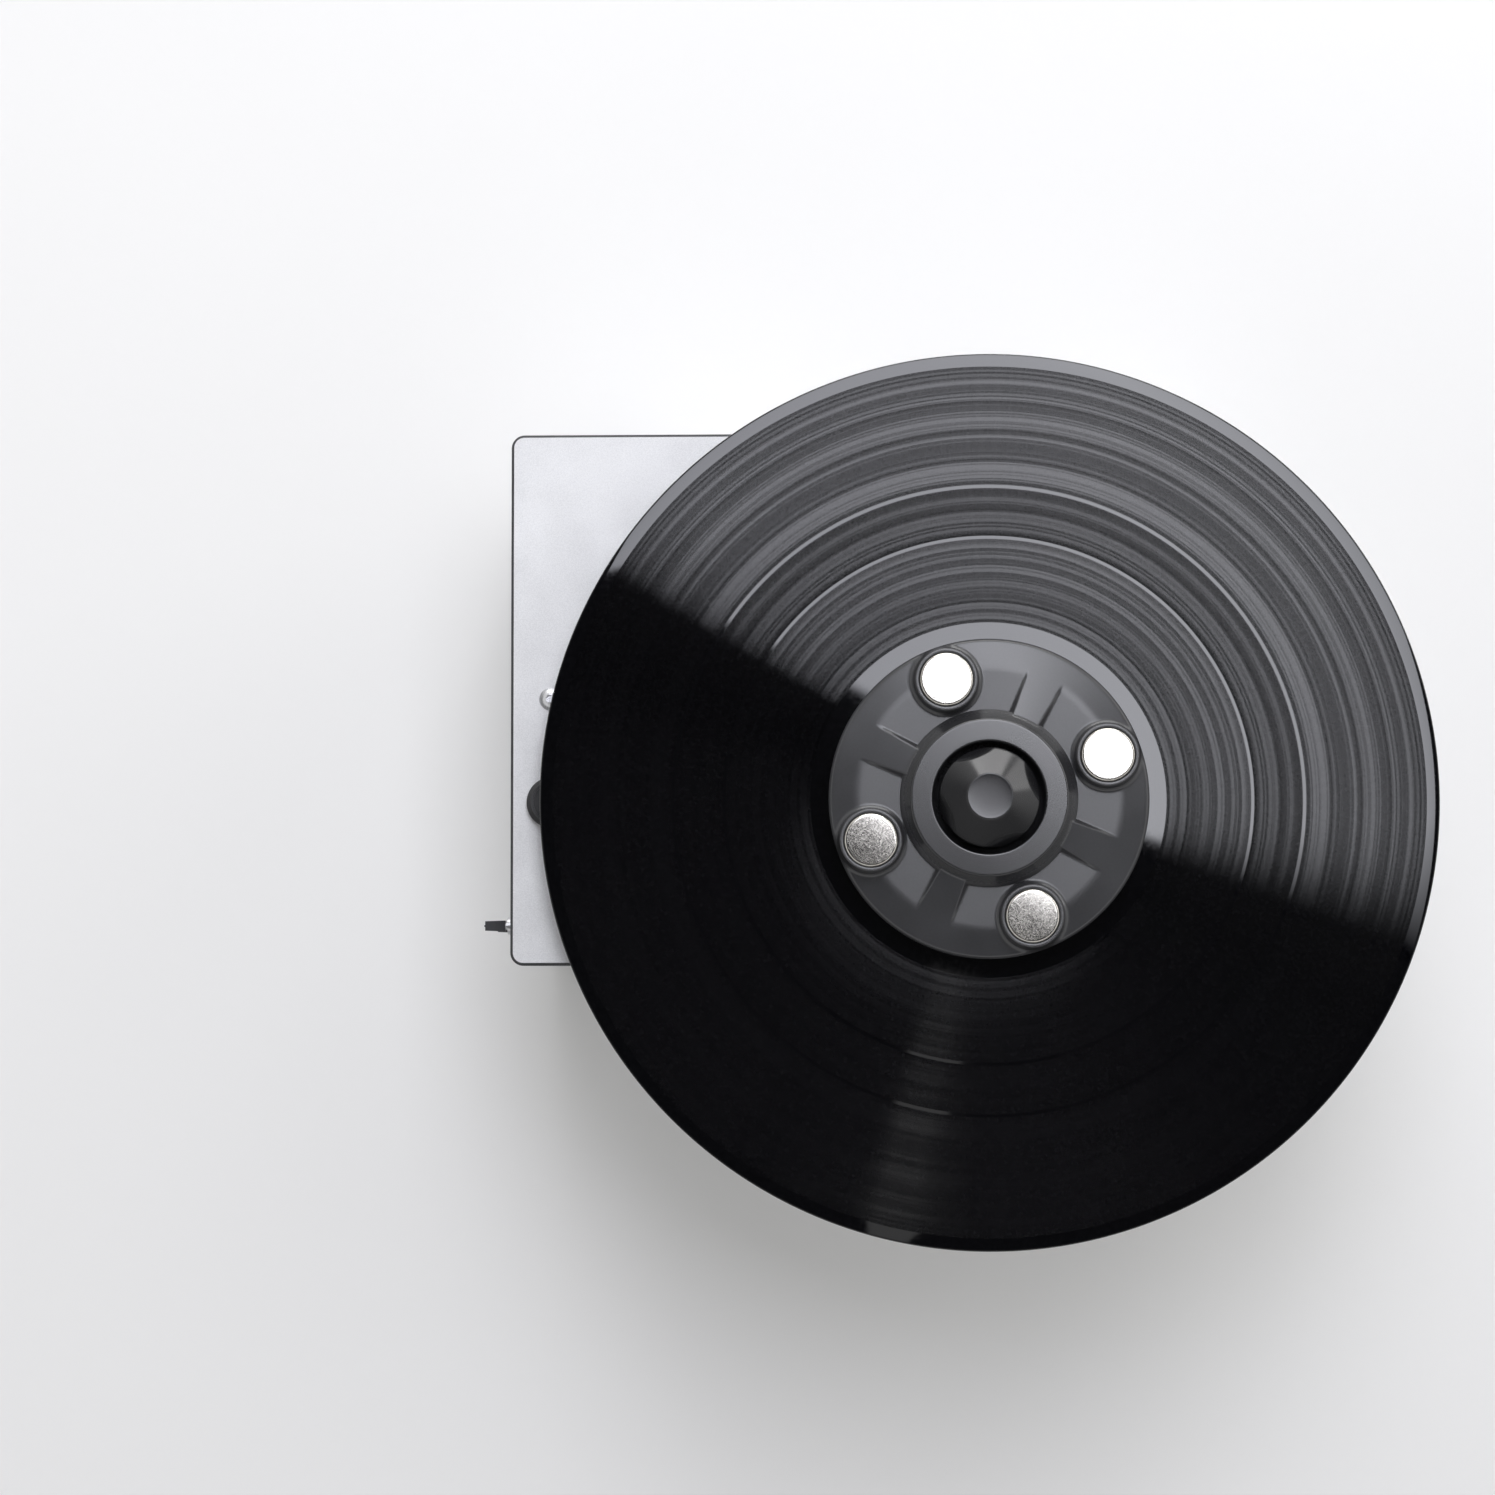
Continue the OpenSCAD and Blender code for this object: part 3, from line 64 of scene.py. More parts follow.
class Finish:
    """A material under construction, with short calls for the nodes it needs."""

    def __init__(self, name, colour, rough, metal=0.0, specular=0.5, coat=0.0, coat_rough=0.1):
        self.mat = bpy.data.materials.new(name)
        self.mat.use_nodes = True
        self.tree = self.mat.node_tree
        self.shader = next(n for n in self.tree.nodes if n.type == "BSDF_PRINCIPLED")
        self.shader.inputs["Base Color"].default_value = (*colour, 1)
        self.shader.inputs["Roughness"].default_value = rough
        self.shader.inputs["Metallic"].default_value = metal
        self.shader.inputs["Specular IOR Level"].default_value = specular
        self.shader.inputs["Coat Weight"].default_value = coat
        self.shader.inputs["Coat Roughness"].default_value = coat_rough
        self.mat.diffuse_color = (*colour, 1)

    def add(self, kind, **settings):
        node = self.tree.nodes.new(kind)
        for key, value in settings.items():
            setattr(node, key, value)
        return node

    def link(self, out, into):
        self.tree.links.new(out, into)

    def place(self, centre=(0, 0, 0), scale=(1, 1, 1), turn=(0, 0, 0)):
        """Object coordinates moved so that centre becomes the origin."""
        coords = self.add("ShaderNodeTexCoord")
        shift = self.add("ShaderNodeVectorMath", operation="SUBTRACT")
        shift.inputs[1].default_value = centre
        self.link(coords.outputs["Object"], shift.inputs[0])
        mapping = self.add("ShaderNodeMapping", vector_type="POINT")
        mapping.inputs["Scale"].default_value = scale
        mapping.inputs["Rotation"].default_value = turn
        self.link(shift.outputs[0], mapping.inputs["Vector"])
        return mapping.outputs["Vector"]

    def noise(self, vector, scale, detail=2.0, rough=0.5):
        node = self.add("ShaderNodeTexNoise", noise_dimensions="3D")
        node.inputs["Scale"].default_value = scale
        node.inputs["Detail"].default_value = detail
        node.inputs["Roughness"].default_value = rough
        self.link(vector, node.inputs["Vector"])
        return node.outputs["Fac"]

    def noise_1d(self, value, scale, detail=2.0, rough=0.6):
        node = self.add("ShaderNodeTexNoise", noise_dimensions="1D")
        node.inputs["Scale"].default_value = scale
        node.inputs["Detail"].default_value = detail
        node.inputs["Roughness"].default_value = rough
        self.link(value, node.inputs["W"])
        return node.outputs["Fac"]

    def math(self, operation, a, b=None, c=None):
        node = self.add("ShaderNodeMath", operation=operation)
        for slot, value in zip(node.inputs, (a, b, c)):
            if value is None:
                continue
            if isinstance(value, (int, float)):
                slot.default_value = value
            else:
                self.link(value, slot)
        return node.outputs[0]

    def spread(self, value, low, high, to_low=0.0, to_high=1.0):
        node = self.add("ShaderNodeMapRange", clamp=True)
        for slot, number in zip(node.inputs[1:5], (low, high, to_low, to_high)):
            slot.default_value = number
        self.link(value, node.inputs[0])
        return node.outputs[0]

    def ramp(self, value, stops):
        node = self.add("ShaderNodeValToRGB")
        while len(node.color_ramp.elements) < len(stops):
            node.color_ramp.elements.new(0.5)
        for element, (where, colour) in zip(node.color_ramp.elements, stops):
            element.position = where
            element.color = (*colour, 1)
        self.link(value, node.inputs[0])
        return node.outputs[0]

    def colour_from(self, out):
        self.link(out, self.shader.inputs["Base Color"])

    def rough_from(self, out):
        self.link(out, self.shader.inputs["Roughness"])

    def bump(self, height, strength, distance):
        node = self.add("ShaderNodeBump")
        node.inputs["Strength"].default_value = strength
        node.inputs["Distance"].default_value = distance
        self.link(height, node.inputs["Height"])
        self.link(node.outputs["Normal"], self.shader.inputs["Normal"])

    def radius(self, vector):
        """Distance from the axis through the vector's origin, in metres."""
        flat = self.add("ShaderNodeVectorMath", operation="MULTIPLY")
        flat.inputs[1].default_value = (1, 1, 0)
        self.link(vector, flat.inputs[0])
        length = self.add("ShaderNodeVectorMath", operation="LENGTH")
        self.link(flat.outputs[0], length.inputs[0])
        return length.outputs["Value"]


def tone(colour, k):
    return tuple(min(1.0, c * k) for c in colour)


def panel_finish():
    """Silver lacquer over aluminium with a fine sparkle."""
    f = Finish("panel_silver", (0.655, 0.655, 0.66), 0.5, metal=0.5)
    where = f.place()
    grain = f.noise(where, 2600, 2.0, 0.6)
    cloud = f.noise(where, 60, 2.0)
    mix = f.math("ADD", f.math("MULTIPLY", grain, 0.7), f.math("MULTIPLY", cloud, 0.3))
    f.colour_from(f.ramp(mix, [
        (0.3, (0.55, 0.55, 0.555)), (0.5, (0.655, 0.655, 0.66)), (0.72, (0.76, 0.76, 0.765)),
    ]))
    f.rough_from(f.spread(grain, 0.3, 0.7, 0.42, 0.6))
    f.bump(grain, 0.12, 0.00005)
    return f.mat


def painted_wall_finish():
    f = Finish("wall_silver", (0.62, 0.63, 0.65), 0.45, metal=0.3)
    where = f.place()
    grain = f.noise(where, 2200, 2.0, 0.6)
    cloud = f.noise(where, 35, 3.0)
    mix = f.math("ADD", f.math("MULTIPLY", grain, 0.85), f.math("MULTIPLY", cloud, 0.15))
    f.colour_from(f.ramp(mix, [(0.3, (0.54, 0.545, 0.555)), (0.7, (0.66, 0.665, 0.675))]))
    f.rough_from(f.spread(cloud, 0.3, 0.7, 0.44, 0.5))
    f.bump(grain, 0.10, 0.00005)
    return f.mat


def core_finish():
    """Dark composite seen on the panel's bevelled edge."""
    f = Finish("dark_core", (0.025, 0.025, 0.028), 0.45)
    where = f.place()
    grain = f.noise(where, 1500, 2.0)
    f.colour_from(f.ramp(grain, [(0.3, (0.018, 0.018, 0.02)), (0.7, (0.04, 0.04, 0.043))]))
    f.rough_from(f.spread(grain, 0.3, 0.7, 0.38, 0.55))
    f.bump(grain, 0.15, 0.00005)
    return f.mat


def brushed_finish(name, colour, stretch, rough=0.3):
    """Steel with brush lines along one axis, given by the smallest number of stretch."""
    f = Finish(name, colour, rough, metal=1.0)
    where = f.place(scale=stretch)
    lines = f.noise(where, 400, 3.0, 0.7)
    f.colour_from(f.ramp(lines, [(0.3, tone(colour, 0.86)), (0.7, tone(colour, 1.08))]))
    f.rough_from(f.spread(lines, 0.3, 0.7, rough * 0.8, rough * 1.35))
    f.bump(lines, 0.08, 0.00005)
    return f.mat


def turned_finish(name, colour, centre, rough=0.3):
    """Metal turned on a lathe: fine rings round a vertical axis."""
    f = Finish(name, colour, rough, metal=1.0)
    r = f.radius(f.place((*centre, 0)))
    lines = f.noise_1d(r, 5000, 2.0)
    f.colour_from(f.ramp(lines, [(0.3, tone(colour, 0.88)), (0.7, tone(colour, 1.06))]))
    f.rough_from(f.spread(lines, 0.3, 0.7, rough * 0.8, rough * 1.3))
    f.bump(lines, 0.12, 0.00006)
    return f.mat


def moulded_finish(name, colour, rough, texture=1400, depth=0.00003, lift=1.35, specular=0.5):
    """Moulded plastic or rubber with a fine even texture."""
    f = Finish(name, colour, rough, specular=specular)
    where = f.place()
    grain = f.noise(where, texture, 3.0, 0.6)
    cloud = f.noise(where, 40, 2.0)
    mix = f.math("ADD", f.math("MULTIPLY", grain, 0.5), f.math("MULTIPLY", cloud, 0.5))
    f.colour_from(f.ramp(mix, [(0.3, tone(colour, 0.82)), (0.7, tone(colour, lift))]))
    f.rough_from(f.spread(mix, 0.3, 0.7, rough * 0.88, min(1.0, rough * 1.15)))
    f.bump(grain, 0.25, depth)
    return f.mat


def vinyl_finish(name, grooved):
    """Black vinyl. A grooved band mirrors on its lands only: the groove walls lean along the radius."""
    f = Finish(name, (0.0015, 0.0015, 0.002), 0.06, specular=VINYL_SPECULAR)
    where = f.place((*SPINDLE, 0))
    r = f.radius(where)
    dust = f.noise(where, 700, 3.0, 0.7)
    f.rough_from(f.spread(dust, 0.45, 0.8, 0.022, 0.045))
    f.colour_from(f.ramp(dust, [(0.4, (0.001, 0.001, 0.0015)), (0.8, (0.003, 0.003, 0.0038))]))
    if not grooved:
        return f.mat
    fine = f.noise_1d(r, 430, 2.0, 0.8)
    coarse = f.noise_1d(r, 130, 1.0, 0.5)
    speck = f.noise(where, 2600, 1.0)
    loudness = f.math("ADD", f.math("MULTIPLY", fine, 0.72), f.math("MULTIPLY", coarse, 0.26))
    loudness = f.math("ADD", loudness, f.math("MULTIPLY", speck, 0.02))
    first, second = [(low[1] + high[0]) / 2 * MM for low, high in zip(GROOVED_BANDS, GROOVED_BANDS[1:])]
    inward = f.spread(r, first, first + BAND_STEP, INNER_BAND, MIDDLE_BAND)
    outward = f.spread(r, second, second + BAND_STEP, 0.0, OUTER_BAND - MIDDLE_BAND)
    width = f.spread(loudness, 0.43, 0.55, LAND_WIDE, LAND_NARROW)
    quiet = f.math("MULTIPLY", width, f.math("ADD", inward, outward))
    loud_line = f.spread(f.noise_1d(f.math("ADD", r, 3.7), 620, 0.0), 0.32, 0.41, 0.5, 1.0)
    land = f.math("MULTIPLY", quiet, loud_line)
    phase = f.math("SUBTRACT", f.math("FRACT", f.math("MULTIPLY", r, 1 / GROOVE_PITCH)), 0.5)
    across = f.math("MULTIPLY", f.math("ABSOLUTE", phase), 2.0)
    crown = f.math("MULTIPLY", f.math("MINIMUM", f.math("DIVIDE", across, land), 1.0), CROWN_SLOPE)
    wall = f.add("ShaderNodeMapRange", interpolation_type="SMOOTHSTEP", clamp=True)
    f.link(across, wall.inputs[0])
    f.link(land, wall.inputs[1])
    f.link(f.math("ADD", land, SHOULDER), wall.inputs[2])
    wall.inputs[4].default_value = WALL_SLOPE
    slope = f.math("MULTIPLY", f.math("ADD", crown, wall.outputs[0]), f.math("SIGN", phase))
    # A wall faces the opposite wall, so it mirrors next to nothing
    mirror = f.spread(wall.outputs[0], 0.3, WALL_SLOPE, VINYL_SPECULAR, WALL_SPECULAR)
    f.link(mirror, f.shader.inputs["Specular IOR Level"])
    flat = f.add("ShaderNodeVectorMath", operation="MULTIPLY")
    flat.inputs[1].default_value = (1, 1, 0)
    f.link(where, flat.inputs[0])
    unit = f.add("ShaderNodeVectorMath", operation="NORMALIZE")
    f.link(flat.outputs[0], unit.inputs[0])
    turn = f.add("ShaderNodeVectorTransform", vector_type="VECTOR", convert_from="OBJECT", convert_to="WORLD")
    f.link(unit.outputs[0], turn.inputs[0])
    lean = f.add("ShaderNodeVectorMath", operation="SCALE")
    f.link(turn.outputs[0], lean.inputs[0])
    f.link(slope, lean.inputs["Scale"])
    face = f.add("ShaderNodeNewGeometry")
    total = f.add("ShaderNodeVectorMath", operation="ADD")
    f.link(face.outputs["Normal"], total.inputs[0])
    f.link(lean.outputs[0], total.inputs[1])
    normal = f.add("ShaderNodeVectorMath", operation="NORMALIZE")
    f.link(total.outputs[0], normal.inputs[0])
    f.link(normal.outputs[0], f.shader.inputs["Normal"])
    return f.mat


def clamp_finish():
    """Satin black moulding, a little smoother on the hub than on the pads and spokes."""
    f = Finish("clamp_black", (0.03, 0.03, 0.032), 0.26, specular=0.74)
    where = f.place((*SPINDLE, 0))
    grain = f.noise(where, 1500, 3.0, 0.6)
    cloud = f.noise(where, 60, 2.0)
    mix = f.math("ADD", f.math("MULTIPLY", grain, 0.5), f.math("MULTIPLY", cloud, 0.5))
    smooth = f.spread(f.radius(where), 0.026, 0.029, 0.17, 0.30)
    tint = f.math("MULTIPLY", f.spread(mix, 0.3, 0.7, 0.12, 0.19), smooth)
    f.colour_from(f.ramp(tint, [(0.0, (0.0, 0.0, 0.0)), (0.1, (0.07, 0.07, 0.075))]))
    f.rough_from(f.math("MULTIPLY", smooth, f.spread(mix, 0.3, 0.7, 0.92, 1.1)))
    f.bump(grain, 0.08, 0.00002)
    return f.mat


def nickel_finish():
    """Plated face of a magnet: satin, with a fine grain."""
    f = Finish("nickel_plate", (0.63, 0.605, 0.56), 0.14, metal=1.0)
    where = f.place()
    grain = f.noise(where, 1800, 3.0, 0.7)
    cloud = f.noise(where, 160, 2.0)
    mix = f.math("ADD", f.math("MULTIPLY", grain, 0.7), f.math("MULTIPLY", cloud, 0.3))
    f.colour_from(f.ramp(mix, [(0.38, (0.50, 0.48, 0.445)), (0.62, (0.74, 0.712, 0.66))]))
    f.rough_from(f.spread(grain, 0.3, 0.7, 0.11, 0.17))
    f.bump(grain, 0.08, 0.00003)
    return f.mat


def milky_finish():
    f = Finish("milky_plastic", (0.72, 0.73, 0.70), 0.4)
    f.shader.inputs["Subsurface Weight"].default_value = 0.2
    f.shader.inputs["Subsurface Radius"].default_value = (0.004, 0.004, 0.004)
    where = f.place()
    cloud = f.noise(where, 30, 3.0)
    f.colour_from(f.ramp(cloud, [(0.3, (0.66, 0.67, 0.63)), (0.7, (0.78, 0.79, 0.76))]))
    f.rough_from(f.spread(cloud, 0.3, 0.7, 0.35, 0.5))
    f.bump(cloud, 0.05, 0.0005)
    return f.mat


def board_finish():
    f = Finish("board_lacquer", (0.03, 0.16, 0.09), 0.3, coat=0.4)
    where = f.place()
    tracks = f.add("ShaderNodeTexVoronoi", feature="DISTANCE_TO_EDGE")
    tracks.inputs["Scale"].default_value = 180
    f.link(where, tracks.inputs["Vector"])
    distance = tracks.outputs["Distance"]
    f.colour_from(f.ramp(distance, [(0.05, (0.05, 0.22, 0.12)), (0.12, (0.025, 0.13, 0.07))]))
    f.bump(distance, 0.1, 0.0001)
    return f.mat


def card_finish():
    f = Finish("label_card", (0.62, 0.60, 0.54), 0.7)
    where = f.place()
    fibre = f.noise(where, 900, 4.0, 0.7)
    f.colour_from(f.ramp(fibre, [(0.3, (0.56, 0.54, 0.48)), (0.7, (0.68, 0.66, 0.60))]))
    f.bump(fibre, 0.2, 0.00005)
    return f.mat


STEEL = (0.60, 0.60, 0.61)
panel_silver = panel_finish()
wall_silver = painted_wall_finish()
dark_core = core_finish()
steel = brushed_finish("brushed_steel", STEEL, (1, 8, 8))
screw_steel = turned_finish("screw_steel", (0.66, 0.66, 0.68), SPINDLE, 0.28)
turned_aluminium = turned_finish("turned_aluminium", (0.66, 0.67, 0.69), SPINDLE, 0.32)
black_rubber = moulded_finish("black_rubber", (0.022, 0.022, 0.024), 0.75, 900, 0.00006)
clamp_black = clamp_finish()
knob_black = moulded_finish("knob_black", (0.010, 0.010, 0.011), 0.2, 1200, 0.000004, 1.2, 0.6)
switch_black = moulded_finish("switch_black", (0.022, 0.022, 0.024), 0.42, 1000, 0.00003)
bung_black = moulded_finish("bung_black", (0.018, 0.018, 0.019), 0.5, 1100, 0.00003)
brass = turned_finish("satin_brass", (0.72, 0.53, 0.24), SPINDLE, 0.3)
vinyl_smooth = vinyl_finish("vinyl_smooth", False)
vinyl_grooved = vinyl_finish("vinyl_grooved", True)
nickel = nickel_finish()
milky = milky_finish()
board_green = board_finish()
card = card_finish()

NODE_FINISH = {
    panel_silver: ["top_skin"],
    wall_silver: ["case_wrap", "fan_housing"],
    dark_core: ["top_core"],
    steel: ["base_plate", "top_brackets", "base_blocks", "base_screws", "small_screws", "shaft_clip",
            "motor_shaft", "motor_bracket", "knob_clip", "rotation_switch", "suction_switch", "switch_nuts",
            "rotation_toggle", "suction_toggle", "suction_motor", "gearmotor", "bearing_outer_rings",
            "bearing_inner_rings", "bearing_balls"],
    screw_steel: ["top_screws", "spindle"],
    turned_aluminium: ["platter", "bearing_housing"],
    black_rubber: ["feet", "platter_mat", "drive_belt", "clamp_seal", "motor_isolator", "drain_plug",
                   "liquid_hose", "air_hose", "drain_hose"],
    bung_black: ["arm_socket", "socket_bung"],
    switch_black: ["platter_pulley", "motor_pulley", "socket_nut", "rotation_paddle", "suction_paddle",
                   "fan_impeller", "exhaust_grille", "drain_spigot", "mains_inlet", "fuse_drawer",
                   "board_parts"],
    clamp_black: ["clamp_disc"],
    knob_black: ["clamp_knob"],
    nickel: ["clamp_magnets"],
    brass: ["knob_insert", "inlet_pins", "board_posts"],
    vinyl_smooth: ["record"],
    card: ["record_labels"],
    milky: ["waste_tank", "tank_lid"],
    board_green: ["power_board"],
}
for finish, names in NODE_FINISH.items():
    for name in names:
        mesh = nodes[name].data
        mesh.materials.clear()
        mesh.materials.append(finish)


# Pieces made here in finer detail than the solids

def make_piece(name, verts, faces, materials, face_slots=None, sharp=40):
    mesh = bpy.data.meshes.new(name)
    mesh.from_pydata(verts, [], faces)
    for m in materials:
        mesh.materials.append(m)
    if face_slots is not None:
        mesh.polygons.foreach_set("material_index", face_slots)
    mesh.validate()
    mesh.shade_smooth()
    mesh.set_sharp_from_angle(angle=math.radians(sharp))
    obj = bpy.data.objects.new(name, mesh)
    bpy.context.scene.collection.objects.link(obj)
    return obj


def ring_faces(rings, segments, closed=True):
    """Quads between rings of equal vertex count, from one ring of the section to the next."""
    faces = []
    last = rings if closed else rings - 1
    for i in range(last):
        j = (i + 1) % rings
        for k in range(segments):
            n = (k + 1) % segments
            faces.append((i * segments + k, i * segments + n, j * segments + n, j * segments + k))
    return faces


def lathe(name, section, materials, centre=SPINDLE, base=0.0, segments=192, section_slots=None, sharp=40):
    """Turns a closed section of (radius, height) in millimetres about a vertical axis.
    The section runs outwards along the top, so that its faces point outwards."""
    turn = np.linspace(0, 2 * math.pi, segments, endpoint=False)
    verts = []
    for r, h in section:
        for a in turn:
            verts.append((centre[0] + r * MM * math.cos(a), centre[1] + r * MM * math.sin(a), base + h * MM))
    faces = [tuple(reversed(q)) for q in ring_faces(len(section), segments)]
    slots = None
    if section_slots is not None:
        slots = [s for s in section_slots for _ in range(segments)]
    return make_piece(name, verts, faces, materials, slots, sharp)


def arc(cx, cy, r, start, end, steps=5):
    """Points of a rounded corner, angles in degrees."""
    return [(cx + r * math.cos(math.radians(a)), cy + r * math.sin(math.radians(a)))
            for a in np.linspace(start, end, steps)]


# Record: smooth rim and run-out, and grooved bands flush with the separators between them

HOLE_R, LABEL_R, LABEL_DEPTH = 3.63, 50.3, 0.2
RECORD_THICK, RIM_ROUND = 2.2, 0.6


def record_section():
    """Section of the record in millimetres about its top plane, with a slot number for each face ring."""
    points = [(HOLE_R, -LABEL_DEPTH), (LABEL_R, -LABEL_DEPTH), (LABEL_R, 0.0)]
    slots = [0, 0, 0]
    for low, high in GROOVED_BANDS:
        points += [(low, 0.0), (high, 0.0)]
        slots += [1, 0]
    rim = arc(RECORD_R - RIM_ROUND, -RIM_ROUND, RIM_ROUND, 90, 0, 14)
    points += rim
    slots += [0] * len(rim)
    hole_end = (HOLE_R, -RECORD_THICK)
    low_points = [(r, -RECORD_THICK - h) for r, h in reversed(points[3:])]
    middles = [(a[0] + b[0]) / 2 for a, b in zip(low_points, low_points[1:] + [hole_end])]
    low_slots = [1 if any(low < m < high for low, high in GROOVED_BANDS) else 0 for m in middles]
    return points + low_points + [hole_end], slots + low_slots + [0]


section, section_slots = record_section()
record = lathe("record_vinyl", section, [vinyl_smooth, vinyl_grooved], base=RECORD_TOP, segments=360,
               section_slots=section_slots, sharp=8)
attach(record, "record")
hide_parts("record")


# Clamp: the top is one relief over a polar grid, closed below by a turned section

HUB_H, HUB_R = 16.5, 25.95
HUB_FOOT_R, CONE_H = 28.4, 13.8
RIM_R, RIM_H = 53.4, 9.5
CONE_EDGE_R = RIM_R - 0.6
POCKET_R, WELL_R, WELL_ROUND = 44.2, 18.65, 0.6
MAGNET_RING = 41.7
CONE_SLOPE = (CONE_H - RIM_H) / (CONE_EDGE_R - HUB_FOOT_R)
POCKET_H = RIM_H + (CONE_EDGE_R - POCKET_R) * CONE_SLOPE
SPOKE_HALF, SPOKE_GROWTH = 4.6, 0.105
RIM_FALL, SPOKE_FALL, HUB_FALL = 1.2, 2.0, 3.2
FILLET_R, FILLET_WIDE, FILLET_H = 12.3, 1.4, 0.9
QUARTER = math.pi / 2


def soft_max(a, b, k):
    h = np.clip(0.5 + 0.5 * (a - b) / k, 0, 1)
    return b + (a - b) * h + k * h * (1 - h)


def soft_min(a, b, k):
    return -soft_max(-a, -b, k)


def off_nearest(a, line):
    """Angle of a off the nearest of four crossed lines, one of which runs at the angle line."""
    return (a - line + QUARTER / 2) % QUARTER - QUARTER / 2


def rounded(share, depth):
    """Drop of a rounded edge; share runs from 0 where the round begins to 1 at its end."""
    return depth * (1 - np.sqrt(np.clip(1 - share ** 2, 0, 1)))


def clamp_relief(r, a):
    """Height of the clamp's top in millimetres above the record."""
    cone = RIM_H + (CONE_EDGE_R - r) * CONE_SLOPE
    hub_side = CONE_H + (HUB_FOOT_R - r) * (HUB_H - CONE_H) / (HUB_FOOT_R - HUB_R)
    hub = soft_min(np.full_like(r, HUB_H), hub_side, 0.35)
    outside = soft_min(cone, RIM_H - (r - RIM_R + 0.75) * RIM_FALL, 0.5)
    spoke_angle = off_nearest(a, MAGNET_ANGLE + QUARTER / 2)
    along, across = r * np.cos(spoke_angle), np.abs(r * np.sin(spoke_angle))
    from_spoke = across - SPOKE_HALF - (along - HUB_FOOT_R) * SPOKE_GROWTH
    spoke_wall = cone - from_spoke * SPOKE_FALL
    hub_wall = CONE_H - 0.15 - (r - HUB_FOOT_R - 0.1) * HUB_FALL
    pocket = soft_max(np.full_like(r, POCKET_H), soft_max(spoke_wall, hub_wall, 0.3), 0.35)
    top = soft_min(soft_min(cone, outside, 0.2), pocket, 0.3)
    top = np.where(r < HUB_FOOT_R, hub, top)
    top = np.where(r < HUB_FOOT_R + 1.2, soft_max(top, soft_min(hub_side, cone + 0.1, 0.2), 0.2), top)
    magnet_angle = off_nearest(a, MAGNET_ANGLE)
    from_magnet = np.hypot(r * np.cos(magnet_angle) - MAGNET_RING, r * np.sin(magnet_angle))
    fillet = np.clip((FILLET_R - from_magnet) / FILLET_WIDE, 0, 1) ** 2 * FILLET_H
    return top + fillet - rounded(np.clip(1 - (r - WELL_R) / WELL_ROUND, 0, 1), WELL_ROUND)


def relief_piece(name, radii, relief, below, materials, segments=600, sharp=60):
    """A turned piece whose top follows relief(radius, angle); below lists the rest of its section."""
    turn = np.linspace(0, 2 * math.pi, segments, endpoint=False)
    rr, aa = np.meshgrid(np.array(radii), turn, indexing="ij")
    hh = relief(rr, aa)
    for r, h in below:
        rr = np.vstack([rr, np.full((1, segments), r)])
        aa = np.vstack([aa, turn[None, :]])
        hh = np.vstack([hh, np.full((1, segments), h)])
    x, y = SPINDLE[0] + rr * MM * np.cos(aa), SPINDLE[1] + rr * MM * np.sin(aa)
    verts = np.stack([x, y, RECORD_TOP + hh * MM], axis=-1).reshape(-1, 3)
    faces = [tuple(reversed(q)) for q in ring_faces(len(hh), segments)]
    return make_piece(name, verts.tolist(), faces, materials, sharp=sharp)


def graded(*spans):
    """Radii that run through spans of (start, end, count)."""
    out = []
    for start, end, count in spans:
        out += list(np.linspace(start, end, count, endpoint=False))
    return out + [spans[-1][1]]


clamp_radii = graded((WELL_R, WELL_R + 0.7, 5), (WELL_R + 0.7, 25.2, 5), (25.2, 26.6, 6), (26.6, 29.3, 5),
                     (29.3, 31.6, 14), (31.6, 43.2, 26), (43.2, 45.4, 7), (45.4, 52.2, 10), (52.2, RIM_R, 6))
clamp_disc = relief_piece(
    "clamp_disc_moulded", clamp_radii, clamp_relief,
    [(RIM_R, 8.3), (RIM_R, 1.0), (RIM_R - 3, 1.0), (RIM_R - 3, 6.5), (39.7, 6.0), (10.5, 3.4), (7.6, 3.4),
     (7.6, 6.0), (WELL_R - 0.2, 6.0), (WELL_R, 6.2)], [clamp_black])
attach(clamp_disc, "clamp")
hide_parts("clamp_disc")


